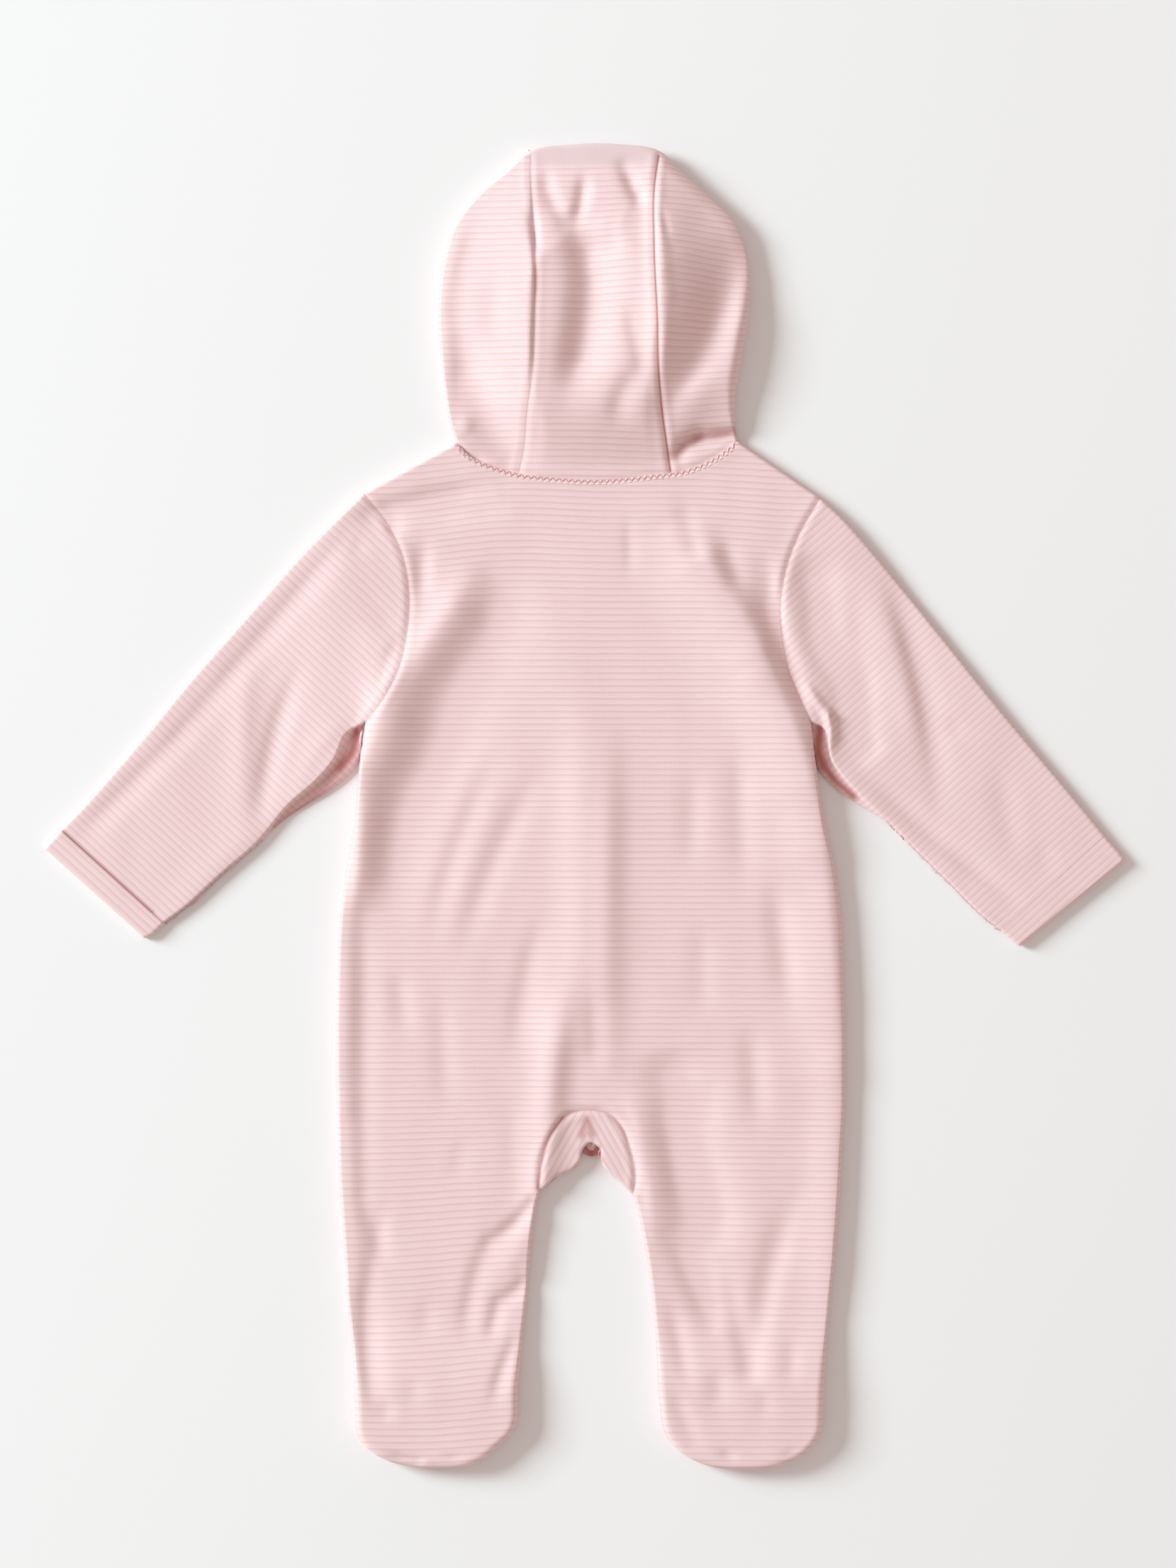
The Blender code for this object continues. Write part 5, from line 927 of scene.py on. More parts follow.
def hood_upper(plan):
    """Outer face of the hood's upper side."""
    share = hood_share(plan)
    edge = hood_edge(plan, UPPER_SEAM)
    side = ease((plan[..., 0] - HOOD_SIDE_TURN[0]) / HOOD_SIDE_TURN[1])
    reach = ROLL + (HOOD_ROLL - ROLL) * share * side
    lie = creases(plan, FOLDS) + creases(plan, HOOD_FOLDS)
    lie += waves(plan, *HOOD_WAVES)
    away = distance_to(HOOD_OUTLINES, plan)
    base = HOOD_LEFT_SIDE + (HOOD_RIGHT_SIDE - HOOD_LEFT_SIDE) * side
    dome = HOOD_CROWN - base
    crown = (base + dome * np.clip(away / HOOD_DOME_REACH, 0.0, 1.0) - UPPER_HEIGHT) * share
    top = UPPER_HEIGHT + crown + lie + grooves(plan, HOOD_SEAMS)
    return with_height(plan, edge + (top - edge) * folded(away, reach))


def hood_lower(plan):
    """Outer face of its underside, which lies on the floor."""
    edge = hood_edge(plan, LOWER_SEAM)
    away = distance_to(HOOD_OUTLINES, plan)
    dents = np.maximum(waves(plan, *HOOD_LOWER_WAVES), 0.0) * folded(away, HOOD_ROLL)
    return with_height(plan, edge * (1.0 - folded(away, UNDER_ROLL)) + dents)


# ---------- sheets of points
def end_steps(fold):
    """Columns at one end of a row, between a seam's (0) and a folded edge's (1)."""
    return fold * FOLD_STEPS + (1.0 - fold) * SEAM_STEPS


def spread(length, count, outer, inner):
    """Distances of the columns: close steps at both ends and even ones between."""
    rest = count - len(outer) - len(inner) + 2
    middle = np.linspace(outer[-1], length - inner[-1], rest)[1:-1]
    return np.concatenate([outer, middle, length - inner[::-1]])


def loft(outer, inner, outer_fold, inner_fold, stations, count, corners=()):
    """Plan points and flags of a sheet whose rows run from the outer line to the inner one."""
    knots = run_lengths(inner)
    stations = np.minimum(stations, knots[-1])
    starts = through(knots, outer, stations)
    ends = through(knots, inner, stations, corners)
    plan = np.zeros((len(stations), count, 2))
    flags = np.zeros((len(stations), count), dtype=int)
    for row, station in enumerate(stations):
        fold_out = np.interp(station, knots, outer_fold)
        fold_in = np.interp(station, knots, inner_fold)
        length = math.hypot(*(ends[row] - starts[row]))
        run = (ends[row] - starts[row]) / length
        places = spread(length, count, end_steps(fold_out), end_steps(fold_in))
        plan[row] = starts[row] + places[:, None] * run
        if fold_out > WHOLE_FOLD:
            flags[row, :2] = (1, 2)
        if fold_in > WHOLE_FOLD:
            flags[row, -2:] = (2, 1)
    return plan, flags


def body_half(outer, inner, outer_fold, top, shoulder, stations, count):
    """A part of the body from its top row down.

    `top` holds the points of the top row; its first `shoulder` steps are a folded edge, and
    the others a seam.
    """
    fixed = np.zeros(len(inner))
    steps = len(SEAM_STEPS)
    seam_rows = np.concatenate([SEAM_STEPS, stations])
    fold_rows = np.concatenate([FOLD_STEPS, stations])
    plan, flags = loft(outer, inner, outer_fold, fixed, seam_rows, count)
    rolled, _ = loft(outer, inner, outer_fold, fixed, fold_rows, count)
    reach = np.repeat(seam_rows[:, None], count, axis=1)
    if shoulder:
        plan[:steps, :shoulder + 1] = rolled[:steps, :shoulder + 1]
        reach[:steps, :shoulder + 1] = FOLD_STEPS[:, None]
        flags[0, :shoulder + 1] = 1
        flags[1, :shoulder + 1] = 2
    bow = top - plan[0]
    plan += bow[None] * (1.0 - ease(reach / BOW_REACH))[..., None]
    return plan, flags


def top_row(tip, neck_line, neck_x, shoulder, count):
    """The shoulder from its tip to the neck line's first point, then the neck seam to neck_x."""
    length = math.hypot(*(neck_line[0] - tip))
    rest = np.linspace(SEAM_STEPS[-1], length, shoulder - END_STEPS + 2)[1:]
    places = np.concatenate([SEAM_STEPS, rest])[:-1, None] / length
    shares = np.linspace(0.0, 1.0, count - shoulder)
    neck = stretch_of(neck_line, neck_line[0, 0], neck_x, shares)
    return np.concatenate([tip + places * (neck_line[0] - tip), neck])


def body_stations(inner, underarm, lower_rows):
    """Rows below the neck rows: some to the underarm, the close ones there, the rest below."""
    knots = run_lengths(inner)
    level = knots[underarm]
    close = level - np.array(UNDERARM_ROWS)
    upper = np.linspace(SEAM_STEPS[-1], close[0], UPPER_ROWS + 2)[1:-1]
    lower = np.linspace(level, knots[-1], lower_rows + 1)
    return np.concatenate([upper, close, lower])


def leg_stations(inner, low_rows):
    """Rows along the arch, close ones at the gusset's end, even ones below."""
    knots = run_lengths(inner)
    first, last = GUSSET_CORNERS
    numbers = np.arange(0, ARCH_ROWS * first) / ARCH_ROWS
    arch = np.interp(numbers, np.arange(len(knots)), knots)
    across = np.interp(first + CROSSING_ROWS, np.arange(len(knots)), knots)
    turn = knots[last] + TURN_ROWS
    low = np.linspace(turn[-1], knots[-1], low_rows + 1)[1:]
    return np.concatenate([arch, across, turn, low])


def toe_rays(first, outline, rays):
    """Rows that turn round a toe: `first` runs from the outline to the middle of the foot."""
    centre = first[-1]
    length = math.hypot(*(first[0] - centre))
    depth = np.hypot(*(first - first[0]).T)
    inner_share = (depth[END_STEPS - 1:] - EDGE_STRIP) / (length - EDGE_STRIP)
    plan = [first]
    for edge in at_share(outline, np.linspace(0.0, 1.0, rays))[1:]:
        run = centre - edge
        ray = math.hypot(*run)
        at = np.concatenate([FOLD_STEPS[:-1], EDGE_STRIP + inner_share * (ray - EDGE_STRIP)])
        plan.append(edge + (at / ray)[:, None] * run)
    plan = np.array(plan)
    flags = np.zeros(plan.shape[:2], dtype=int)
    flags[:, :2] = (1, 2)
    return plan, flags


# ---------- map of the stripes
def tilted(plan, rows):
    """How far the stripes have moved up, for local tilts in degrees around given points."""
    total = np.zeros(len(plan))
    for x, y, tilt, reach in zip(*rows.values()):
        away = plan - (x, y)
        near = np.exp(-(away ** 2).sum(axis=1) / reach ** 2)
        total += math.tan(math.radians(tilt)) * away[:, 0] * near
    return total


def stripe_places(name, place):
    """Distances across and along the cloth, in metres, for points of a piece."""
    plan = place[:, :2]
    if name in SLEEVE_TURN:
        turn = math.radians(SLEEVE_TURN[name])
        axis = np.array([math.cos(turn), math.sin(turn)])
        flow = (plan @ axis + tilted(plan, TILTS)) * SLEEVE_STRETCH[name]
        return np.column_stack([plan @ np.array([-axis[1], axis[0]]), flow])
    if name == "crotch_gusset":
        limb = np.abs(plan[:, 0] - GUSSET_MIDDLE)
        flow = GUSSET_RUN[0] * limb + GUSSET_RUN[1] * (plan[:, 1] - GUSSET_LEVEL)
        return np.column_stack([plan[:, 1] - limb, flow])
    rows = HOOD_TILTS if name.startswith("hood") else TILTS
    level = plan[:, 1] - tilted(plan, rows)
    low = np.minimum(level - LOW_LEG, 0.0)
    return np.column_stack([plan[:, 0], level - (1.0 - LEG_STRETCH) * low])


# ---------- materials
def linear(*levels):
    """A colour given as screen levels of 0 to 255."""
    parts = [level / 255.0 for level in levels]
    parts = [p / 12.92 if p <= 0.04045 else ((p + 0.055) / 1.055) ** 2.4 for p in parts]
    return (*parts, 1.0)


class Nodes:
    """Short names for adding and linking nodes in one tree."""

    def __init__(self, tree):
        self.tree = tree

    def add(self, kind, **settings):
        node = self.tree.nodes.new(kind)
        for key, value in settings.items():
            setattr(node, key, value)
        return node

    def link(self, source, target):
        """Join a node's output to an input, or give the input a value."""
        if hasattr(source, "is_output") or hasattr(source, "links"):
            self.tree.links.new(source, target)
        else:
            target.default_value = source

    def maths(self, operation, *values):
        node = self.add("ShaderNodeMath", operation=operation)
        for socket, value in zip(node.inputs, values):
            self.link(value, socket)
        return node.outputs[0]

    def mix(self, factor, first, second, blend="MIX"):
        node = self.add("ShaderNodeMix", data_type="RGBA", blend_type=blend)
        self.link(factor, node.inputs["Factor"])
        self.link(first, node.inputs[6])
        self.link(second, node.inputs[7])
        return node.outputs[2]

    def toned(self, colour, tone):
        """The colour made darker or lighter by a number."""
        grey = self.add("ShaderNodeCombineColor")
        for socket in grey.inputs[:3]:
            self.link(tone, socket)
        return self.mix(1.0, colour, grey.outputs[0], "MULTIPLY")

    def stretched(self, vector, x, y):
        node = self.add("ShaderNodeMapping")
        self.link(vector, node.inputs["Vector"])
        node.inputs["Scale"].default_value = (x, y, 1.0)
        return node.outputs[0]

    def noise(self, vector, scale, detail=2.0, roughness=0.5):
        node = self.add("ShaderNodeTexNoise")
        self.link(vector, node.inputs["Vector"])
        node.inputs["Scale"].default_value = scale
        node.inputs["Detail"].default_value = detail
        node.inputs["Roughness"].default_value = roughness
        return node.outputs["Fac"]


def new_group(name, inputs, outputs):
    """A node group, a writer for its tree, and its two end nodes."""
    group = bpy.data.node_groups.new(name, "ShaderNodeTree")
    for label, kind, value in inputs:
        socket = group.interface.new_socket(label, in_out="INPUT", socket_type=kind)
        if value is not None:
            socket.default_value = value
    for label, kind in outputs:
        group.interface.new_socket(label, in_out="OUTPUT", socket_type=kind)
    nodes = Nodes(group)
    return group, nodes, nodes.add("NodeGroupInput"), nodes.add("NodeGroupOutput")


# Numbers of the interlock cloth: noise is given by spots a metre, and reach in metres
WOBBLE = (90.0, 0.0007)       # the stripes waver
PATCHES = (42.0, 1.8, 3.0)    # and are fainter in patches: spots, their stretch, detail
PATCH_GAIN = (0.85, 0.36)
SECOND_LINE = (0.55, 0.9)     # a fainter line beside each: strength and phase
HEATHER = (900.0, 0.35, 0.6)  # mottle of the yarn: spots, their stretch, roughness
HEATHER_GAIN = (0.05, 0.975)
CLOUD = 26.0                  # slow changes of tone
CLOUD_GAIN = (0.03, 0.985)
WALE = 0.00092                # distance from one column of loops to the next
FUZZ = (1500.0, 3.0, 0.7)     # spots, detail, roughness
LOOP_HEIGHT = 0.020           # shares of the bump's depth
WALE_HEIGHT = 0.016
FUZZ_HEIGHT = 0.08
STRIPE_HEIGHT = 0.018
CLOTH_ROUGH = (0.12, 0.84)    # share that the fuzz adds, and least roughness
KNIT_BUMP = 0.7
KNIT_DEPTH = 0.001
CLOTH_SHEEN = {"Specular IOR Level": 0.25, "Sheen Weight": 0.03, "Sheen Roughness": 0.45,
               "Sheen Tint": (1.0, 0.98, 0.98, 1.0)}
PLAIN_DETAIL = 3.0
PLAIN_BUMP = 0.3
PLAIN_DEPTH = 0.0001
MOTTLE_ROUGH = 0.1


def interlock_group():
    """Stripes, knit loops and fuzz of an interlock cloth, on a map in metres, with painted shade where its
    mask asks.
    """
    group, n, start, end = new_group(
        "striped_interlock",
        [("Cloth map", "NodeSocketVector", None), ("Pitch", "NodeSocketFloat", PITCH),
         ("Light", "NodeSocketColor", None), ("Dark", "NodeSocketColor", None),
         ("Shade", "NodeSocketColor", None), ("Seam", "NodeSocketFloat", 0.0),
         ("Plain", "NodeSocketFloat", 0.0), ("Band", "NodeSocketColor", None)],
        [("Colour", "NodeSocketColor"), ("Height", "NodeSocketFloat"),
         ("Roughness", "NodeSocketFloat")])
    split = n.add("ShaderNodeSeparateXYZ")
    cloth_map = start.outputs["Cloth map"]
    n.link(cloth_map, split.inputs[0])
    across, along_cloth = split.outputs[0], split.outputs[1]
    wobble = n.noise(cloth_map, WOBBLE[0])
    wobble = n.maths("MULTIPLY", n.maths("SUBTRACT", wobble, 0.5), WOBBLE[1])
    level = n.maths("DIVIDE", n.maths("ADD", along_cloth, wobble), start.outputs["Pitch"])
    wave = n.maths("SINE", n.maths("MULTIPLY", level, 2 * math.pi))
    patch = n.noise(n.stretched(cloth_map, 1.0, PATCHES[1]), PATCHES[0], PATCHES[2])
    strength = n.maths("MULTIPLY_ADD", patch, *PATCH_GAIN)
    twice = n.maths("SINE", n.maths("MULTIPLY_ADD", level, 4 * math.pi, SECOND_LINE[1]))
    line = n.maths("MULTIPLY_ADD", twice, SECOND_LINE[0], wave)
    stripe = n.maths("MULTIPLY_ADD", n.maths("MULTIPLY", line, strength), 0.5, 0.5)
    colour = n.mix(stripe, start.outputs["Dark"], start.outputs["Light"])
    colour = n.mix(start.outputs["Plain"], colour, start.outputs["Band"])
    heather = n.noise(n.stretched(cloth_map, HEATHER[1], 1.0), HEATHER[0], 2.0, HEATHER[2])
    cloud = n.noise(cloth_map, CLOUD)
    tone = n.maths("MULTIPLY_ADD", heather, *HEATHER_GAIN)
    tone = n.maths("MULTIPLY", tone, n.maths("MULTIPLY_ADD", cloud, *CLOUD_GAIN))
    colour = n.toned(colour, tone)
    # painted shade: the cloth turns toward the Shade colour in folds, clefts, seams and on edges that face
    # the light
    colour = n.mix(start.outputs["Seam"], colour, start.outputs["Shade"])
    courses = n.maths("SINE", n.maths("MULTIPLY", level, 8 * math.pi))
    wales = n.maths("SINE", n.maths("MULTIPLY", across, 2 * math.pi / WALE))
    loops = n.maths("MULTIPLY", courses, n.maths("MULTIPLY_ADD", wales, 0.5, 0.5))
    fuzz = n.noise(cloth_map, *FUZZ)
    height = n.maths("MULTIPLY_ADD", loops, LOOP_HEIGHT, n.maths("MULTIPLY", wales, WALE_HEIGHT))
    height = n.maths("MULTIPLY_ADD", fuzz, FUZZ_HEIGHT, height)
    height = n.maths("MULTIPLY_ADD", wave, STRIPE_HEIGHT, height)
    n.link(colour, end.inputs["Colour"])
    n.link(height, end.inputs["Height"])
    n.link(n.maths("MULTIPLY_ADD", fuzz, *CLOTH_ROUGH), end.inputs["Roughness"])
    return group


LIGHT = linear(247, 218, 217)
DARK = linear(231, 199, 198)
# painted shade: the darker, redder colour of cloth in shadow, laid on by the seam mask
SHADE = linear(184, 112, 108)
BAND = linear(228, 201, 201)
FLOOR = linear(244, 243, 242)
KNIT = interlock_group()


def bump_from(n, height, strength, distance, shader):
    """Shade the surface as if a height, in units of `distance` metres, raised it."""
    bump = n.add("ShaderNodeBump")
    bump.inputs["Strength"].default_value = strength
    bump.inputs["Distance"].default_value = distance
    n.link(height, bump.inputs["Height"])
    n.link(bump.outputs[0], shader.inputs["Normal"])


def cloth_material(name, crown=False):
    """Striped interlock; on the crown it ends in a plain band."""
    material = bpy.data.materials.new(name)
    material.use_nodes = True
    n = Nodes(material.node_tree)
    shader = material.node_tree.nodes["Principled BSDF"]
    knit = n.add("ShaderNodeGroup", node_tree=KNIT)
    spots = n.add("ShaderNodeUVMap", uv_map="cloth")
    # the seam attribute holds painted shade: seams, folds, clefts and edges that face the light
    seam = n.add("ShaderNodeAttribute", attribute_name="seam")
    n.link(spots.outputs["UV"], knit.inputs["Cloth map"])
    n.link(seam.outputs["Fac"], knit.inputs["Seam"])
    for socket, colour in {"Light": LIGHT, "Dark": DARK, "Shade": SHADE, "Band": BAND}.items():
        knit.inputs[socket].default_value = colour
    if crown:
        place = n.add("ShaderNodeTexCoord")
        split = n.add("ShaderNodeSeparateXYZ")
        n.link(place.outputs["Object"], split.inputs[0])
        plain = n.add("ShaderNodeMapRange", interpolation_type="SMOOTHSTEP")
        n.link(split.outputs[1], plain.inputs["Value"])
        plain.inputs["From Min"].default_value = CROWN_BAND - CROWN_FADE
        plain.inputs["From Max"].default_value = CROWN_BAND + CROWN_FADE
        n.link(plain.outputs[0], knit.inputs["Plain"])
    bump_from(n, knit.outputs["Height"], KNIT_BUMP, KNIT_DEPTH, shader)
    n.link(knit.outputs["Colour"], shader.inputs["Base Color"])
    n.link(knit.outputs["Roughness"], shader.inputs["Roughness"])
    for socket, value in CLOTH_SHEEN.items():
        shader.inputs[socket].default_value = value
    return material


def plain_material(name, colour, roughness, grain, scale):
    """One colour, mottled by `grain` with `scale` spots a metre."""
    material = bpy.data.materials.new(name)
    material.use_nodes = True
    n = Nodes(material.node_tree)
    shader = material.node_tree.nodes["Principled BSDF"]
    place = n.add("ShaderNodeTexCoord")
    mottle = n.noise(place.outputs["Object"], scale, PLAIN_DETAIL)
    tone = n.maths("MULTIPLY_ADD", mottle, grain, 1.0 - grain / 2)
    n.link(n.toned(colour, tone), shader.inputs["Base Color"])
    rough = n.maths("MULTIPLY_ADD", mottle, MOTTLE_ROUGH, roughness - MOTTLE_ROUGH / 2)
    n.link(rough, shader.inputs["Roughness"])
    bump_from(n, mottle, PLAIN_BUMP, PLAIN_DEPTH, shader)
    return material


CLOTHS = {
    kind: cloth_material("striped_interlock_" + kind, kind == "crown")
    for kind in ("back", "front", "gusset", "sleeve", "cuff", "hood", "crown")
}
THREAD = plain_material("pink_thread", linear(226, 184, 182), 0.7, 0.1, 3000.0)
PALE_THREAD = plain_material("pale_pink_thread", linear(250, 226, 224), 0.7, 0.1, 3000.0)
ENAMEL = plain_material("stud_enamel", linear(236, 214, 212), 0.3, 0.02, 400.0)


# ---------- meshes
def add_sheet(bm, points):
    """A grid of faces whose vertices take the places points[row, column]."""
    rows, columns = points.shape[:2]
    made = bmesh.ops.create_grid(bm, x_segments=columns - 1, y_segments=rows - 1, size=1.0)
    for vert in made["verts"]:
        column = round((vert.co.x + 1.0) / 2.0 * (columns - 1))
        row = round((vert.co.y + 1.0) / 2.0 * (rows - 1))
        vert.co = points[row, column]


def linked(name, data):
    """A new object in the scene."""
    item = bpy.data.objects.new(name, data)
    bpy.context.scene.collection.objects.link(item)
    return item


def own_object(name, bm, material):
    """A smooth mesh object of one material, from faces that are then freed."""
    mesh = bpy.data.meshes.new(name)
    bm.to_mesh(mesh)
    bm.free()
    mesh.shade_smooth()
    item = linked(name, mesh)
    mesh.materials.append(material)
    return item


def vectors(items, field):
    """The 3-D vectors that a mesh keeps in one field of its items."""
    values = np.zeros(len(items) * 3)
    items.foreach_get(field, values)
    return values.reshape(-1, 3)


def face_outwards(bm, joined):
    """Merge what meets, and turn the faces so that the upper layer's look up.

    Only where several sheets are joined are the faces first made to agree.
    """
    bmesh.ops.remove_doubles(bm, verts=bm.verts, dist=MERGE)
    bmesh.ops.dissolve_degenerate(bm, edges=bm.edges, dist=MERGE)
    if joined:
        bmesh.ops.recalc_face_normals(bm, faces=bm.faces)
    bm.normal_update()
    largest = max(bm.faces, key=lambda face: abs(face.normal.z) * face.calc_area())
    faces_up = largest.calc_center_median().z > UPPER_SEAM
    if (largest.normal.z > 0) != faces_up:
        bmesh.ops.reverse_faces(bm, faces=bm.faces)


def lay_stripes(item, node):
    """The map of the cloth, in metres, carried over folded edges by the height they drop."""
    mesh = item.data
    place = vectors(mesh.vertices, "co")
    normal = vectors(mesh.vertex_normals, "vector")
    level = np.maximum(np.hypot(normal[:, 0], normal[:, 1]), LEVEL_NORMAL)
    outward = normal[:, :2] / level[:, None]
    steep = 1.0 - np.abs(normal[:, 2])
    top = HOOD_FOLD_TOP if node.startswith("hood") else UPPER_HEIGHT
    drop = np.where(normal[:, 2] >= 0, np.maximum(top - place[:, 2], 0.0), place[:, 2])
    plan = place[:, :2] + outward * (drop * ease(steep * STEEP_GAIN))[:, None] * OVER_FOLD
    spots = stripe_places(node, plan)
    corner = np.zeros(len(mesh.loops), dtype=int)
    mesh.loops.foreach_get("vertex_index", corner)
    layer = mesh.uv_layers.new(name="cloth")
    layer.data.foreach_set("uv", spots[corner].astype(np.float32).ravel())


def mark_seams_and_painted_shade(item, painted_shade_lines):
    """A mask of painted shade, darker and redder cloth: along stitched lines, in clefts and folds, and on
    edges that face the light.
    """
    mesh = item.data
    place = vectors(mesh.vertices, "co")
    facing = -vectors(mesh.vertex_normals, "vector")[:, 0]
    mask = LIT_RIM * ease((facing - LIT_FROM) / LIT_OVER)
    for line, strength, width, height in painted_shade_lines:
        away = distance_to([line], place[:, :2])
        shade = strength * np.exp(-(away / width) ** 2)
        mask = np.maximum(mask, np.where(place[:, 2] < height, shade, 0.0))
    attribute = mesh.attributes.new("seam", "FLOAT", "POINT")
    attribute.data.foreach_set("value", mask.astype(np.float32))


def cloth_piece(node, sheets, kind, seams=(), wall=CLOTH_THICK):
    """Join the sheets to one open surface, face it outwards and thicken it inwards."""
    bm = bmesh.new()
    for points in sheets:
        add_sheet(bm, points)
    face_outwards(bm, len(sheets) > 1)
    for edge in bm.edges:
        edge.smooth = not edge.is_boundary
    item = own_object(node + "_cloth", bm, CLOTHS[kind])
    lay_stripes(item, node)
    # painted shade along the seams, joined with the painted shade of folds and clefts
    seam_shade_lines = [(line, strength, width, ANY_HEIGHT) for line, _, strength, width in seams]
    mark_seams_and_painted_shade(item, seam_shade_lines + painted_shades_on(node))
    solidify = item.modifiers.new("wall", "SOLIDIFY")
    solidify.thickness = wall
    solidify.offset = -1.0
    solidify.use_even_offset = False
    solidify.use_quality_normals = True
    solidify.use_rim = True
    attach(item, "root")
    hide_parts(node)
    return item


# ---------- the body
def body_sections(armhole, side, from_row):
    """Points and fold weights of a half's outer line: an armhole, then the side below it."""
    points = np.concatenate([pairs(armhole), pairs(side)[from_row:]])
    fold = np.zeros(len(points))
    fold[len(armhole["x"]) - 1:] = 1
    return points, fold


def leg_sheet(leg, outer, layer, count, low_rows, lap=False):
    """A leg from the arch down; with `lap` its inner side is no folded edge here."""
    inner = pairs(leg, "in_x", "in_y")
    fold = np.full(len(inner), 0.0 if lap else 1.0)
    stations = leg_stations(inner, low_rows)
    plan, flags = loft(outer, inner, fold, leg["in_fold"], stations, count, GUSSET_CORNERS)
    return plan, layer(plan, flags)


def full_toe(last_row, toe, layer):
    """The whole toe below a leg's last row, from its outer side to its inner side."""
    half = len(last_row) // 2
    plan, flags = toe_rays(last_row[:half + 1], smooth_line(pairs(toe), TOE_POINTS), TOE_RAYS)
    return layer(plan, flags)


def build_back():
    """The back, and the plan of its two armholes for the sleeves."""
    middle = pairs(BACK_MIDDLE)
    stations = body_stations(middle, UNDERARM, BACK_LOWER_ROWS)
    sheets = []
    armholes = []
    for side, leg, toe, neck in (
            (BACK_LEFT, LEG_LEFT, TOE_LEFT, NECK_BACK_LINE),
            (BACK_RIGHT, LEG_RIGHT, TOE_RIGHT, NECK_BACK_LINE[::-1])):
        outer = pairs(side)
        top = top_row(outer[0], neck, middle[0, 0], BACK_SHOULDER, BACK_COLUMNS)
        plan, flags = body_half(outer, middle, side["fold"], top, BACK_SHOULDER, stations,
                                BACK_COLUMNS)
        sheets.append(upper_layer(plan, flags))
        armholes.append(plan[1:ROWS_TO_UNDERARM, 0])
        leg_plan, leg_points = leg_sheet(leg, pairs(leg, "out_x", "out_y"), upper_layer,
                                         BACK_COLUMNS, LEG_ROWS)
        sheets.append(leg_points)
        sheets.append(full_toe(leg_plan[-1], toe, upper_layer))
    cloth_piece("back", sheets, "back", BODY_SEAMS)
    return armholes


def placket_edge(side):
    """The overlap's edge on one side of its middle line, narrowing to a seam at the foot."""
    share = between_levels(PLACKET_LINE[:, 1], PLACKET_NARROW)
    half = PLACKET_HALF * share - PLACKET_FOOT_GAP / 2 * (1.0 - share)
    return moved_left(PLACKET_LINE, side * half[:, None])


def on_edge(edge, levels):
    """Points of a line that runs down, at the given levels."""
    return np.column_stack([np.interp(-levels, -edge[:, 1], edge[:, 0]), levels])


def toe_part(end, to_x):
    """The left toe's outline from one of its ends to the overlap."""
    toe = smooth_line(pairs(TOE_LEFT), TOE_POINTS)
    return stretch_of(toe, toe[end, 0], to_x, np.linspace(0.0, 1.0, TOE_PART_POINTS))


def build_front_left():
    """From the wearer's left side to the outer edge of the overlap, in one sheet to the toe."""
    outer, fold = body_sections(FRONT_ARMHOLE_LEFT, BACK_LEFT, FRONT_UNDERARM + 1)
    leg = pairs(LEG_LEFT, "out_x", "out_y")[2:]
    outer = np.concatenate([outer, leg])
    fold = np.concatenate([fold, np.ones(len(leg))])
    edge = placket_edge(1.0)
    inner = on_edge(edge, outer[:, 1])
    stations = body_stations(inner, FRONT_UNDERARM - 1, SIDE_LOWER_ROWS)
    top = top_row(outer[0], NECK_FRONT_LINE, edge[0, 0], FRONT_SHOULDER, FRONT_COLUMNS)
    plan, flags = body_half(outer, inner, fold, top, FRONT_SHOULDER, stations, FRONT_COLUMNS)
    outer_toe = toe_part(0, edge[-1, 0])
    toe_plan, toe_flags = toe_rays(plan[-1], outer_toe, TOE_RAYS // 2)
    sheets = [front_left_layer(plan, flags), front_left_layer(toe_plan, toe_flags)]
    cloth_piece("front_left", sheets, "front")
    return plan[1:ROWS_TO_UNDERARM, 0]


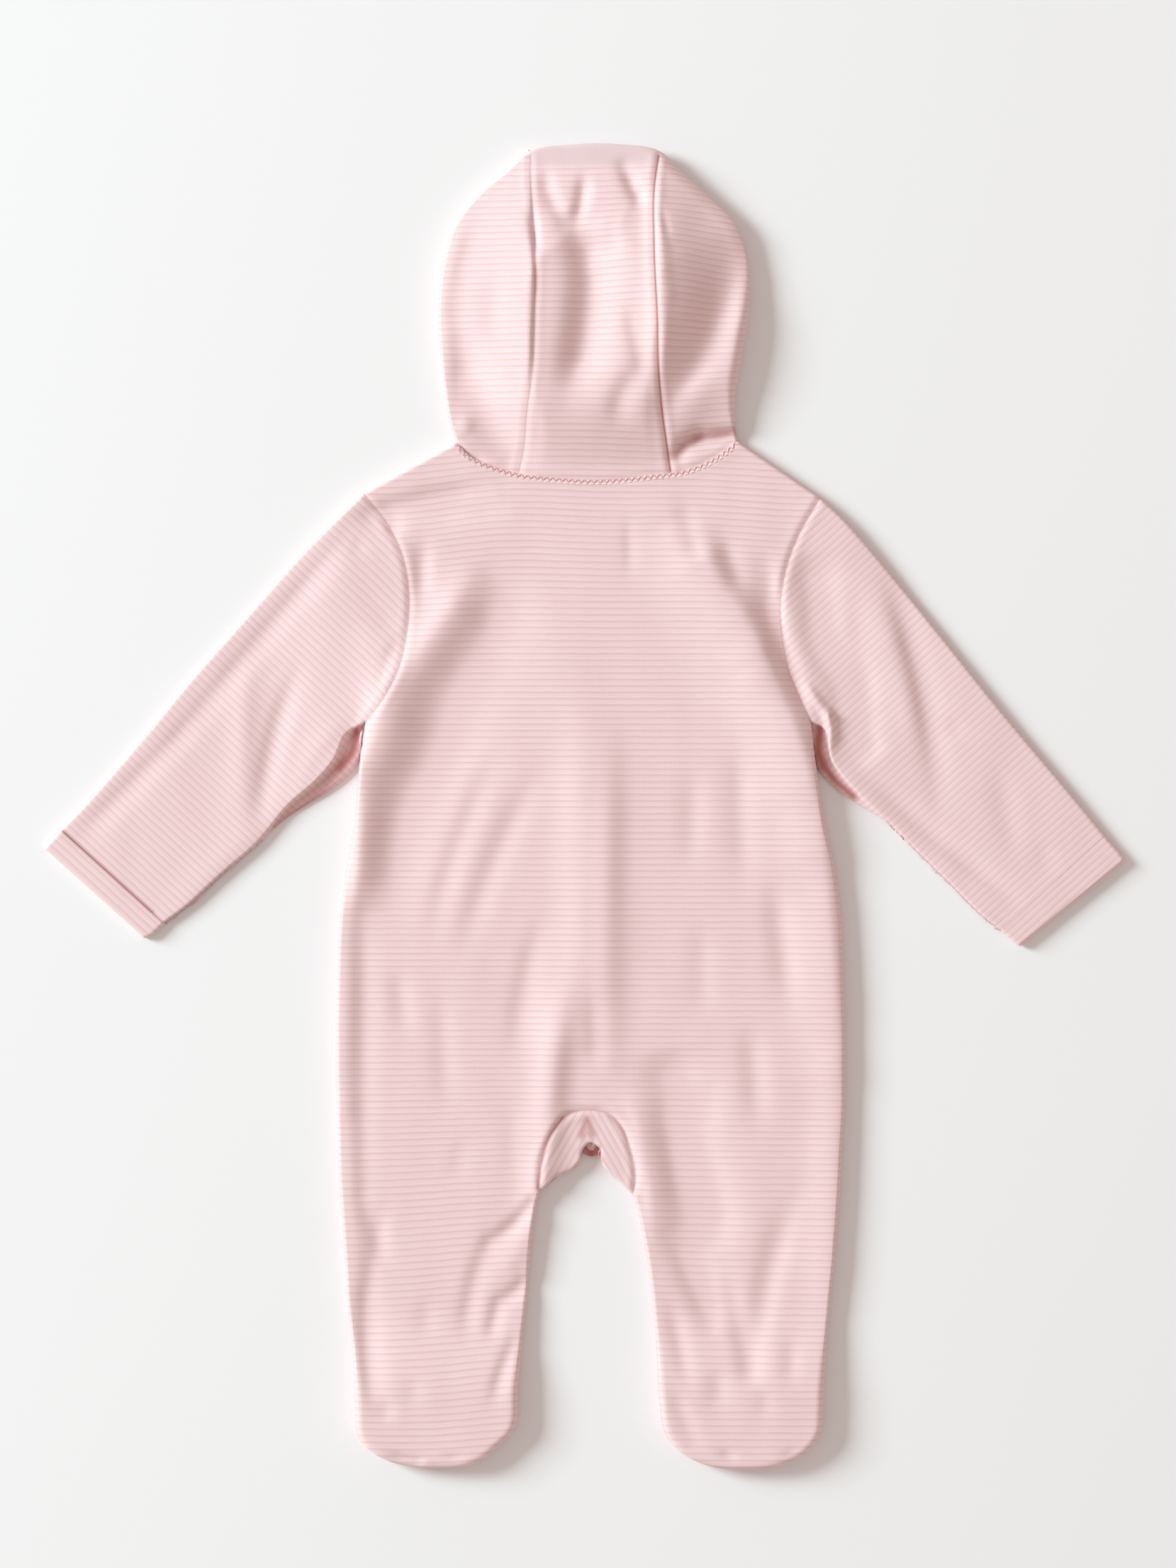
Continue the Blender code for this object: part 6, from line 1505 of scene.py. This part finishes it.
def build_front_right():
    """The rest of the front: right half, right leg, and the left leg inside the overlap."""
    outer, fold = body_sections(FRONT_ARMHOLE_RIGHT, BACK_RIGHT, FRONT_UNDERARM + 1)
    split = smooth_line(pairs(SPLIT_LINE))
    share = (outer[0, 1] - outer[:, 1]) / (outer[0, 1] - outer[-1, 1])
    inner = on_edge(split, split[0, 1] + share * (split[-1, 1] - split[0, 1]))
    stations = body_stations(inner, FRONT_UNDERARM - 1, FRONT_LOWER_ROWS)
    neck = NECK_FRONT_LINE[::-1]
    top = top_row(outer[0], neck, split[0, 0], FRONT_SHOULDER, FRONT_COLUMNS)
    plan, flags = body_half(outer, inner, fold, top, FRONT_SHOULDER, stations, FRONT_COLUMNS)
    sheets = [front_right_layer(plan, flags)]
    edge = placket_edge(-1.0)
    middle_outer = on_edge(edge, outer[:, 1])
    neck_length = math.hypot(*(split[0] - edge[0]))
    shares = spread(neck_length, MIDDLE_COLUMNS, SEAM_STEPS, SEAM_STEPS) / neck_length
    middle_top = stretch_of(NECK_FRONT_LINE, edge[0, 0], split[0, 0], shares)
    middle_plan, middle_flags = body_half(middle_outer, inner, np.zeros(len(inner)), middle_top,
                                          0, stations, MIDDLE_COLUMNS)
    sheets.append(front_right_layer(middle_plan, middle_flags))
    right_outer = pairs(LEG_RIGHT, "out_x", "out_y")
    right_plan, right_points = leg_sheet(LEG_RIGHT, right_outer, front_right_layer,
                                         FRONT_COLUMNS, PLAIN_LEG_ROWS)
    sheets.append(right_points)
    sheets.append(full_toe(right_plan[-1], TOE_RIGHT, front_right_layer))
    left_plan, left_points = leg_sheet(LEG_LEFT, on_edge(edge, LEG_LEFT["out_y"]),
                                       front_right_layer, MIDDLE_COLUMNS, LEG_ROWS, lap=True)
    sheets.append(left_points)
    inner_toe = toe_part(-1, edge[-1, 0])
    toe_plan, toe_flags = toe_rays(left_plan[-1, ::-1], inner_toe, TOE_RAYS // 2)
    sheets.append(front_right_layer(toe_plan, toe_flags))
    cloth_piece("front_right", sheets, "front")
    return plan[1:ROWS_TO_UNDERARM, 0]


def gusset_tuck():
    """A patch of cloth that sinks away below the middle of the crotch edge; painted shade on its lower part
    makes it the dark hollow there.
    """
    across, down = np.meshgrid(np.linspace(*TUCK_ACROSS, TUCK_COLUMNS),
                               np.linspace(*TUCK_DOWN, TUCK_ROWS))
    sag = ((across - TUCK_MIDDLE) / TUCK_HALF) ** 2
    low = (TUCK_DOWN[0] - down) / TUCK_LENGTH
    plan = np.stack([across, down + TUCK_BOW * sag * low], axis=-1)
    return with_height(plan, TUCK_HEIGHT - TUCK_FALL * low - TUCK_FALL * sag * low)


def build_gusset():
    """Folded over the crotch edge, from the back's arch seam to the front's."""
    arches = []
    crotches = []
    for leg, crotch in ((LEG_LEFT, CROTCH_LEFT), (LEG_RIGHT, CROTCH_RIGHT)):
        inner = pairs(leg, "in_x", "in_y")
        knots = run_lengths(inner)
        stations = leg_stations(inner, 1)
        stations = stations[stations <= knots[GUSSET_CORNERS[0]] + MERGE]
        arches.append(through(knots, inner, stations, GUSSET_CORNERS))
        numbers = np.interp(stations, knots, np.arange(len(knots)))
        crotch_at = np.linspace(0.0, GUSSET_CORNERS[0], len(crotch["x"]))
        crotches.append(through(crotch_at, pairs(crotch), numbers))
    arch = moved_left(np.concatenate([arches[0][::-1], arches[1][1:]]), -CURVED_GAP)
    crotch = np.concatenate([crotches[0][::-1], crotches[1][1:]])
    for end, beside in ((0, 1), (-1, -2)):
        run = crotch[beside] - crotch[end]
        crotch[end] += run / math.hypot(*run) * GUSSET_END_GAP * CURVED_GAP
    upper = []
    lower = []
    for seam, edge in zip(arch, crotch):
        run = seam - edge
        length = math.hypot(*run)
        rest = np.linspace(EDGE_STRIP, length, GUSSET_COLUMNS)[1:]
        at = np.concatenate([FOLD_STEPS[1:], rest])
        row = edge + (at / length)[:, None] * run
        upper.append(row[::-1])
        lower.append(row[1:])
    upper = np.array(upper)
    lower = np.array(lower)
    fold = np.concatenate([upper_layer(upper), front_right_layer(lower)], axis=1)
    cloth_piece("crotch_gusset", [fold, gusset_tuck()], "gusset", [BODY_SEAMS[1]])


# ---------- sleeves and cuffs
def ring_row(upper, lip_edge, lower_edge, top_shares, under_shares):
    """Plan of one ring: over the top, out to the lip, and back beneath."""
    top = upper + top_shares[:, None] * (lower_edge - upper)
    lip = lower_edge + LIP_SHARES[:, None] * (lip_edge - lower_edge)
    under = lip_edge + under_shares[:, None] * (upper - lip_edge)
    return top, lip, under


def build_sleeve(name, sleeve, armhole, front_armhole, side, seam_line):
    """A tube from the armhole to the cuff, lying flat."""
    seam = moved_left(armhole, side * CURVED_GAP)
    front_seam = moved_left(front_armhole, side * CURVED_GAP)
    tip = 0.5 * (seam[0] + front_seam[0])
    seam[0] = tip
    front_seam[0] = tip
    top_shares = run_lengths(seam) / run_lengths(seam)[-1]
    under_shares = (1.0 - run_lengths(front_seam) / run_lengths(front_seam)[-1])[::-1]
    sections = through(np.arange(len(sleeve["up_x"]), dtype=float),
                       np.column_stack(list(sleeve.values())),
                       SLEEVE_ROWS)
    reach = run_lengths(sections)
    plain_heights = np.interp(LIP_SHARES, LIP["share"], LIP["plain"])
    stepped_heights = np.interp(LIP_SHARES, LIP["share"], LIP["stepped"])
    rows = []
    for number, section in enumerate(sections):
        upper, lower_edge, lip_edge = section[:2], section[2:4], section[4:]
        if number == 0:
            upper, lower_edge, lip_edge = tip, seam[-1], front_seam[-1]
        top, lip, under = ring_row(upper, lip_edge, lower_edge, top_shares, under_shares)
        if number == 0:
            top_bow = seam - top
            under_bow = front_seam[::-1] - under
        fade = 1.0 - ease(reach[number] / SLEEVE_BOW_REACH)
        top = top + top_bow * fade
        under = under + under_bow * fade
        stepped = min(1.0, math.hypot(*(lip_edge - lower_edge)) / LIP_FULL)
        above = upper_layer(top)
        lip_height = plain_heights + stepped * (stepped_heights - plain_heights)
        lip_height *= 1.0 + rim_shift(lip) / UPPER_SEAM
        roll = UNDER_ROLL + stepped * (LIP_ROLL - UNDER_ROLL)
        rise = folded(distance_to(LOWER_OUTLINES, under), roll)
        beneath = with_height(under, lip_height[-1] * (1.0 - rise))
        from_top = distance_to(SHOULDERS, under)
        plain = (LOWER_SEAM + rim_shift(under)) * (1.0 - folded(from_top, UNDER_ROLL))
        beneath[:, 2] = np.where(from_top < UNDER_ROLL, plain, beneath[:, 2])
        beneath[-1] = above[0]
        rows.append(np.concatenate([above, with_height(lip, lip_height)[:-1], beneath]))
    cloth_piece(name, [np.array(rows)], "sleeve", [seam_line])


def build_cuff(name, cuff, step, dip, roll):
    """The doubled band, a ring at the end of the sleeve."""
    ends = np.column_stack(list(cuff.values()))
    axis = 0.5 * (ends[-1, :2] + ends[-1, 2:] - ends[0, :2] - ends[0, 2:])
    length = math.hypot(*axis)
    axis /= length
    ends[0] += np.tile(axis, 2) * SEAM_GAP
    sections = through(CUFF_SECTIONS, ends, CUFF_ROWS)
    rows = []
    for section, share in zip(sections, CUFF_ROWS / CUFF_SECTIONS[-1]):
        upper, lower = section[:2], section[2:]
        width = math.hypot(*(lower - upper))
        steps = spread(width, CUFF_COLUMNS, FOLD_STEPS, FOLD_STEPS)[1:-1] / width
        across = upper + steps[:, None] * (lower - upper)
        inward = np.minimum(steps, 1.0 - steps) * width
        rise = folded(inward, ROLL)
        joined = folded(np.array(share * length), CUFF_ROLL)
        ended = folded(np.array((1.0 - share) * length), roll)
        top = UPPER_HEIGHT + upper_lie(across) - dip + (step + dip) * joined
        edge = 0.5 * UPPER_HEIGHT + rim_shift(across)
        above = with_height(across, edge + (top - edge) * rise * ended)
        beneath = with_height(across[::-1], (edge * (1.0 - folded(inward, UNDER_ROLL)))[::-1])
        rows.append(np.concatenate([above, beneath[1:]]))
    cloth_piece(name, [np.array(rows)], "cuff", wall=BAND_THICK)


# ---------- the hood
def on_hood_edge(numbers):
    """Points of the hood's outline, by the number of the edge point counted from the left."""
    stations = np.interp(numbers, np.arange(len(HOOD_EDGE_KNOTS)), HOOD_EDGE_KNOTS)
    return through(HOOD_EDGE_KNOTS, HOOD_EDGE_POINTS, stations)


def build_hood_side(name, hood, edge_numbers, corner, seam_line):
    """From the centre strip over the outline, and beneath to the face opening."""
    neck = moved_left(NECK_BACK_LINE, CURVED_GAP)
    front_neck = moved_left(NECK_FRONT_LINE, FRONT_NECK_GAP)
    sections = np.column_stack(list(hood.values()))
    first_up = stretch_of(neck, sections[0, 0], neck[corner, 0], HOOD_UP)
    first_low = stretch_of(front_neck, neck[corner, 0], sections[0, 4], HOOD_UNDER)
    first_low[0] = first_up[-1]
    level = through(np.arange(len(sections), dtype=float), sections, HOOD_ROWS)
    level[:, 2:4] = on_hood_edge(edge_numbers)
    level[0] = [*first_up[0], *first_up[-1], *first_low[-1]]
    rows = []
    climb = run_lengths(level[:, 2:4])
    for number, section in enumerate(level):
        seam, edge, face = section[:2], section[2:4], section[4:]
        up = seam + HOOD_UP[:, None] * (edge - seam)
        low = edge + HOOD_UNDER[:, None] * (face - edge)
        if number == 0:
            up_bow = first_up - up
            low_bow = first_low - low
        fade = 1.0 - ease(climb[number] / HOOD_BOW_REACH)
        above = hood_upper(up + up_bow * fade)
        beneath = hood_lower(low + low_bow * fade)
        rows.append(np.concatenate([above, beneath[1:]]))
    cloth_piece(name, [np.array(rows)], "hood", [HOOD_SEAMS[2], seam_line])
    return level


def build_hood_centre(left, right):
    """From the neck over the crown to the forehead edge on the underside."""
    neck = moved_left(NECK_BACK_LINE, CURVED_GAP)
    shift = np.array([SEAM_GAP, 0.0])
    across = CENTRE_ACROSS[:, None]
    first = stretch_of(neck, left[0, 0] + SEAM_GAP, right[0, 0] - SEAM_GAP, CENTRE_ACROSS)
    crown = stretch_of(HOOD_OUTLINES[0], left[-1, 2] + SEAM_GAP, right[-1, 2] - SEAM_GAP,
                       CENTRE_ACROSS)
    rows = []
    climb = run_lengths(left[:, :2])
    for number in range(len(left)):
        start = left[number, :2] + shift
        end = right[number, :2] - shift
        row = start + across * (end - start)
        if number == 0:
            neck_bow = first - row
        crown_bow = crown - (crown[0] + across * (crown[-1] - crown[0]))
        near_neck = 1.0 - ease(climb[number] / HOOD_BOW_REACH)
        near_crown = 1.0 - ease((climb[-1] - climb[number]) / HOOD_BOW_REACH)
        rows.append(hood_upper(row + neck_bow * near_neck + crown_bow * near_crown))
    last = rows[-1][:, :2]
    for share in CROWN_OVER:
        rows.append(hood_upper(last + share * (crown - last)))
    brow = np.column_stack([crown[:, 0], np.full(len(crown), FOREHEAD)])
    for share in CROWN_UNDER:
        rows.append(hood_lower(crown + share * (brow - crown)))
    cloth_piece("hood_centre", [np.array(rows)], "crown", HOOD_SEAMS)


# ---------- threads and studs
def surface_height(line):
    return upper_layer(line)[:, 2]


def threads(name, paths, material):
    """Sewing thread that follows the given paths, as one mesh."""
    curve = bpy.data.curves.new(name, "CURVE")
    curve.dimensions = "3D"
    curve.bevel_depth = THREAD_RADIUS
    curve.bevel_resolution = 1
    curve.use_fill_caps = True
    for path in paths:
        spline = curve.splines.new("POLY")
        spline.points.add(len(path) - 1)
        for point, place in zip(spline.points, path):
            point.co = (*place, 1.0)
    shape = linked(name + "_path", curve)
    graph = bpy.context.evaluated_depsgraph_get()
    mesh = bpy.data.meshes.new_from_object(shape.evaluated_get(graph))
    bpy.data.objects.remove(shape, do_unlink=True)
    mesh.name = name
    item = linked(name, mesh)
    mesh.materials.clear()
    mesh.materials.append(material)
    mesh.shade_smooth()
    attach(item, "root")
    return item


def zigzag(line, offset, swing, step):
    """A zigzag of thread beside a seam line, lying on the cloth."""
    length = run_lengths(line)[-1]
    count = int(length / step)
    middle = at_share(line, np.linspace(*ZIGZAG_ENDS, count))
    inner = moved_left(middle, offset - swing)
    outer = moved_left(middle, offset + swing)
    plan = np.where((np.arange(count) % 2 == 0)[:, None], inner, outer)
    fine = at_share(plan, np.linspace(0.0, 1.0, 4 * count))
    return np.column_stack([fine, surface_height(fine) + STITCH_RISE])


def dashes(line, offset, step, filled):
    """Straight stitches beside a seam line: each fills a share of its step."""
    beside = moved_left(line, offset)
    count = int(run_lengths(beside)[-1] / step)
    rows = []
    for number in range(1, count - 1):
        share = (number + np.array([0.0, 0.5, 1.0]) * filled) / count
        plan = at_share(beside, share)
        height = surface_height(plan) + STITCH_RISE * np.array([0.0, 1, 0])
        rows.append(np.column_stack([plan, height]))
    return rows


def build_studs():
    """A cap for each stud on the overlap, face down."""
    line_length = run_lengths(PLACKET_LINE)[-1]
    places = at_share(PLACKET_LINE, (STUD_FIRST + STUD_PITCH * np.arange(STUD_COUNT)) / line_length)
    for number, (x, y) in enumerate(places, start=1):
        bm = bmesh.new()
        ring = [bm.verts.new((radius, 0.0, height)) for radius, height in STUD_PROFILE]
        edges = [bm.edges.new(pair) for pair in zip(ring[:-1], ring[1:])]
        bmesh.ops.spin(bm, geom=ring + edges, cent=(0, 0, 0), axis=(0, 0, 1), dvec=(0, 0, 0),
                       angle=2 * math.pi, steps=STUD_SIDES, use_merge=True)
        bmesh.ops.remove_doubles(bm, verts=bm.verts, dist=STUD_MERGE)
        bmesh.ops.recalc_face_normals(bm, faces=bm.faces)
        bmesh.ops.translate(bm, verts=bm.verts, vec=(x, y, 0.0))
        stud = own_object(f"stud_cap_{number}", bm, ENAMEL)
        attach(stud, "root")
        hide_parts(f"press_stud_{number}")


# ---------- camera, light and floor
def build_camera():
    camera = linked("camera_above", bpy.data.cameras.new("camera_above"))
    camera.location = (*VIEW_CENTRE, CAMERA_RISE + LIE)
    camera.data.sensor_width = SENSOR
    camera.data.lens = SENSOR * CAMERA_RISE / VIEW_HEIGHT
    bpy.context.scene.camera = camera


def build_floor():
    bm = bmesh.new()
    bmesh.ops.create_grid(bm, x_segments=1, y_segments=1, size=FLOOR_SIZE)
    floor = own_object("pale_floor", bm, plain_material("matt_white_floor", FLOOR, 0.8, 0.01, 3.0))


def build_light():
    """A window's light from the left, a soft room, and colours shown as they are."""
    key = bpy.data.lights.new("window_light", "AREA")
    key.shape = "RECTANGLE"
    key.size = KEY_SIZE
    key.size_y = KEY_SIZE
    key.energy = KEY_POWER
    key.color = KEY_COLOUR
    lamp = linked("window_light", key)
    turn, rise = math.radians(KEY_TURN), math.radians(KEY_RISE)
    direction = np.array([math.cos(turn) * math.cos(rise), math.sin(turn) * math.cos(rise),
                          math.sin(rise)])
    lamp.location = KEY_DISTANCE * direction
    lamp.rotation_euler = (math.pi / 2 - rise, 0.0, turn + math.pi / 2)
    world = bpy.data.worlds.new("soft_room")
    bpy.context.scene.world = world
    world.use_nodes = True
    background = world.node_tree.nodes["Background"]
    background.inputs["Color"].default_value = (*ROOM_COLOUR, 1.0)
    background.inputs["Strength"].default_value = ROOM_STRENGTH
    settings = bpy.context.scene.view_settings
    settings.view_transform = "Standard"
    settings.look = "None"
    settings.exposure = 0.0
    settings.gamma = 1.0


# ---------- the suit
build_camera()
build_floor()
build_light()
left_armhole, right_armhole = build_back()
left_front_armhole = build_front_left()
right_front_armhole = build_front_right()
build_gusset()
build_sleeve("sleeve_left", SLEEVE_LEFT, left_armhole, left_front_armhole, -1, BODY_SEAMS[2])
build_sleeve("sleeve_right", SLEEVE_RIGHT, right_armhole, right_front_armhole, 1,
             BODY_SEAMS[3])
build_cuff("cuff_left", CUFF_LEFT, *CUFF_LEFT_FORM)
build_cuff("cuff_right", CUFF_RIGHT, *CUFF_RIGHT_FORM)
last_edge = len(HOOD_EDGE_POINTS) - 1
left_level = build_hood_side("hood_left", HOOD_LEFT, HOOD_ROWS, 0, HOOD_SEAMS[0])
right_level = build_hood_side("hood_right", HOOD_RIGHT, last_edge - HOOD_ROWS, -1,
                              HOOD_SEAMS[1])
build_hood_centre(left_level, right_level)
build_studs()
zigzag_path = zigzag(NECK_BACK_LINE, NECK_ROW, ZIGZAG_SWING, ZIGZAG_STEP)
threads("neck_zigzag", [zigzag_path], THREAD)
dash_paths = dashes(NECK_BACK_LINE, NECK_ROW - DASH_ROW, DASH_STEP, DASH_FILLED)
threads("neck_stitches", dash_paths, PALE_THREAD)
